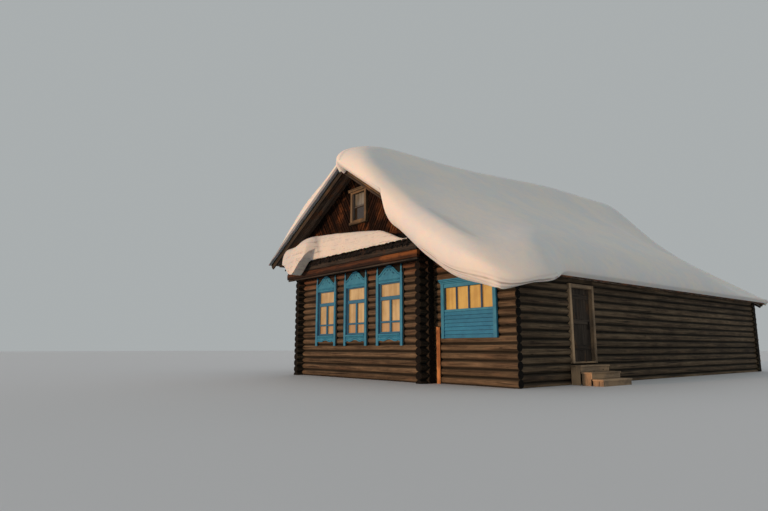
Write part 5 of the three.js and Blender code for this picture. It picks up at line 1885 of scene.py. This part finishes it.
@dataclass(frozen=True)
class PentSnow:
    """The bank on the pent roof, with a lump that has slid over its left corner."""

    pent: PentRoof
    left: float = -3.196
    right: float = 2.944
    depth: float = 0.742  # greatest, over the boards' edge
    # What it loses towards its ends.
    losses: tuple[Change, ...] = (Change(-1.829, -2.629, 0.185), Change(-1.829, 2.171, 0.289),
                                  Change(1.6, 3.2, 0.5))
    rise: float = 0.15  # for each metre towards the gable
    reach: float = 0.004  # past the boards
    lip: float = 0.014  # over their ends
    tilt: Change = Change(0.9, 1.9, 0.5)  # of its rise, towards the right
    lump_end: Change = Change(-1.45, -1.05)  # on its right
    lump_foot: Change = Change(-2.25, -1.5)
    lump_hang: Change = Change(-3.091, -2.15, 0.43)
    lump_lift: Change = Change(-1.6, -1.1, 0.35)  # of its underside, to the right
    # What it reaches further.
    lump_reach: tuple[Change, ...] = (Change(-3.396, -2.954, 0.258), Change(-2.95, -2.3, 0.12))

    def build(self) -> None:
        """Makes the bank on a grid of x and t: -1 at the tip, 0 at the boards' edge and 1 at the back."""
        edge, head = -self.pent.reach - GAP, 0.1 - 2 * GAP
        across = rising(arc_in(self.left, self.left + 0.2, 14), np.linspace(self.left + 0.2, -2.3, 26),
                        np.linspace(-2.27, -1.0, 70), np.linspace(-0.96, self.right - 0.2, 145),
                        arc_in(self.right, self.right - 0.2, 12))
        shares = rising(arc_in(-1.0, 0.0, 30), arc_in(0.0, 1.0, 18), [-0.02, -0.005])
        x, t = np.meshgrid(across, shares)
        lump = 1 - self.lump_end.at(x)
        tip = edge - self.reach - sum(change.at(x) for change in self.lump_reach) * lump
        deep = self.depth - sum(change.at(x) for change in self.losses)
        rise = self.rise - self.tilt.at(x)
        back = edge + np.clip(deep / (self.pent.slope - rise), 0.04, head - edge)
        y = np.where(t < 0, edge + t * (edge - tip), edge + t * (back - edge))
        ragged = self.lip * (1 + 0.9 * ripple(x / 0.13, 0 * x, 44)) * (1 - lump)
        foot = 1 - self.lump_foot.at(x)
        hang = self.lip * lump + ragged + self.lump_hang.at(x) * foot * smooth((edge - y) / 0.04)
        hang = hang - self.lump_lift.at(x) * smooth((edge - y) / 0.12)
        lower = self.pent.top(np.maximum(y, edge)) + GAP - np.where(y < edge, hang, 0.0)
        full = self.pent.top(np.array(edge)) + deep + np.maximum(0, y - edge) * rise
        full = full - 0.01 * (1 + ripple(x / 0.7, y / 0.9, 41)) - 0.004 * (1 + ripple(x / 0.2, y / 0.3, 42))
        ends = nose(1 - (x - self.left) / 0.2, 2.8) * nose(1 - (self.right - x) / 0.2, 2.2)
        front = nose(1 - (y - tip) / (edge + 0.15 - tip), 2.8)
        upper = lower + np.maximum(0, full - lower) * ends * front + 0.004
        blanket(x, y, upper, lower, lower).make("pent_bank", "snow", [Finish.BANK], "snow_pent", 80)


def dress(node: str, finish: Finish) -> None:
    """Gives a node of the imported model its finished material.

    Args:
        node: its name.
        finish: the finish.
    """
    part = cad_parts[node]
    if not part.material_slots:
        part.data.materials.append(finish.material)
    for slot in part.material_slots:
        slot.material = finish.material


@dataclass(frozen=True)
class Stage:
    """Floor, light and the camera at the photograph's viewing angle."""

    camera: tuple[float, float, float] = (13.344, -9.67, 0.867)  # where it stands, in house axes
    yaw: float = 51.04  # in degrees
    pitch: float = 9.38  # in degrees, upwards
    lens: float = 26.25  # millimetres, on a frame 36 mm wide
    sky: Colour = (0.4, 0.425, 0.43)  # light from all round
    half_floor: float = 160.0
    lamps: tuple[tuple[str, Colour, float, Colour, float], ...] = (
        ("evening_key", (-0.16, -0.985, 0.045), 2.3, (1.0, 0.63, 0.4), 3.5),
        ("back_fill", (-0.55, 0.82, 0.16), 0.5, (0.95, 0.93, 1.0), 60.0))

    def build(self) -> None:
        """Lays the floor, sets the lights and places the camera."""
        scene = bpy.context.scene
        self.floor()
        world = bpy.data.worlds.new("studio")
        world.use_nodes = True
        world.node_tree.nodes["Background"].inputs[0].default_value = (*self.sky, 1.0)
        scene.world = world
        scene.view_settings.view_transform = "Standard"
        self.lights()
        data = bpy.data.cameras.new("camera")
        data.lens, data.sensor_width, data.clip_end = self.lens, 36.0, 500.0
        camera = bpy.data.objects.new("camera", data)
        camera.location = tuple(np.array(self.camera) + ORIGIN)
        camera.rotation_euler = (math.radians(90 + self.pitch), 0.0, math.radians(self.yaw))
        scene.collection.objects.link(camera)
        scene.camera = camera

    def floor(self) -> None:
        """Lays a wide pale floor."""
        mesh, s = bpy.data.meshes.new("floor"), self.half_floor
        mesh.from_pydata([(-s, -s, 0), (s, -s, 0), (s, s, 0), (-s, s, 0)], [], [(0, 1, 2, 3)])
        mesh.materials.append(Recipe("pale_floor").finish((0.72, 0.72, 0.73), 0.9))
        floor = bpy.data.objects.new("floor", mesh)
        bpy.context.scene.collection.objects.link(floor)

    def lights(self) -> None:
        """Adds large soft lamps far away: (name, way to it, strength, tint, width in degrees)."""
        for name, way, power, colour, spread in self.lamps:
            data = bpy.data.lights.new(name, "SUN")
            data.energy, data.color, data.angle = power, colour, math.radians(spread)
            lamp = bpy.data.objects.new(name, data)
            lamp.location = tuple(np.array(way) * 40 + ORIGIN)
            tilt = math.atan2(math.hypot(way[0], way[1]), way[2])
            lamp.rotation_euler = (tilt, 0.0, math.atan2(way[1], way[0]) + math.pi / 2)
            bpy.context.scene.collection.objects.link(lamp)


def log_walls() -> list[LogWall]:
    """The six log walls, with their openings.

    Returns:
        The walls, in the order in which they are built.
    """
    half, rim = 0.49 + GAP, 0.085 + GAP

    def carved(centre: float) -> Hole:
        """Opening for a carved window."""
        return centre - half, centre + half, 1.3 - rim, 2.6 + rim
    wide = (3.42 - GAP, 5.06 + GAP, 1.755 - GAP, 2.385 + GAP)
    door = (2.46 - GAP, 3.54 + GAP, FLOOR_TOP + GAP, FLOOR_TOP + 1.94 + GAP)
    inner, far = WALL + GAP, HOUSE_LENGTH - WALL - GAP
    end, cabin, annex = HOUSE_LENGTH + 0.2, CABIN_HALF, ANNEX_RIGHT
    front = ANNEX_FRONT + inner
    street = [carved(centre) for centre in STREET_WINDOWS]
    side = [carved(-along) for along in SIDE_WINDOWS]
    return [
        LogWall("street_logs", "street_wall", STREET, (-cabin - 0.2, cabin + 0.05), (-cabin, cabin), 0.0,
                WALL_TOP, street, seed=1, stretch=0.16),
        LogWall("back_logs", "back_wall", BACK, (-annex - 0.05, cabin + 0.2), (-annex, cabin), 0.0, WALL_TOP,
                short=(-annex - 0.05, -cabin), seed=2),
        LogWall("left_logs", "left_wall", LEFT, (-end, 0.2), (-far, -inner), 0.5, WALL_TOP, side,
                (-far, -inner), seed=3),
        LogWall("middle_logs", "middle_wall", MIDDLE, (-0.2, end), (inner, far), 0.5, WALL_TOP,
                short=(inner, far), seed=4, stretch=0.5),
        LogWall("annex_side_logs", "annex_side_wall", RIGHT, (front, end), (front, far), 0.5, 9.0, [door],
                seed=5),
        LogWall("annex_front_logs", "annex_front_wall", ANNEX, (cabin - 0.05, annex + 0.05), (cabin, annex),
                0.0, 9.0, [wide], seed=6, stretch=0.16),
    ]


def main() -> None:
    """Builds the house piece by piece, then the stage."""
    logging.basicConfig(level=logging.INFO, format="%(name)s: %(message)s")
    for finish in Finish:
        LOG.info("finish %s", finish.material.name)
    pent = PentRoof()
    window = AtticWindow()
    crawl = window.half - 0.06
    hole = (window.centre - crawl, window.centre + crawl, window.bottom + 0.06, window.top - 0.06)
    pieces = [
        *log_walls(),
        Gable("street_gable_boards", "street_gable", STREET, 1.0, 32.0, hole, foot=4.05),
        Gable("back_gable_boards", "back_gable", BACK, -1.0, 0.0, foot=3.9),
        window, MainRoof(), pent,
        *(CarvedWindow(f"street_window_{k + 1}", STREET, u, 3 * k + 1) for k, u in enumerate(STREET_WINDOWS)),
        *(CarvedWindow(f"side_window_{k + 1}", LEFT, -y, 3 * k + 11) for k, y in enumerate(SIDE_WINDOWS)),
        AnnexWindow(), YardDoor(), HeavySnow(), ThinSnow(), PentSnow(pent),
    ]
    for piece in pieces:
        piece.build()
    for node in ("cabin_floor", "annex_floor", "attic_floor"):
        dress(node, Finish.FLOORING)
    Stage().build()


if __name__ == "__main__":
    main()
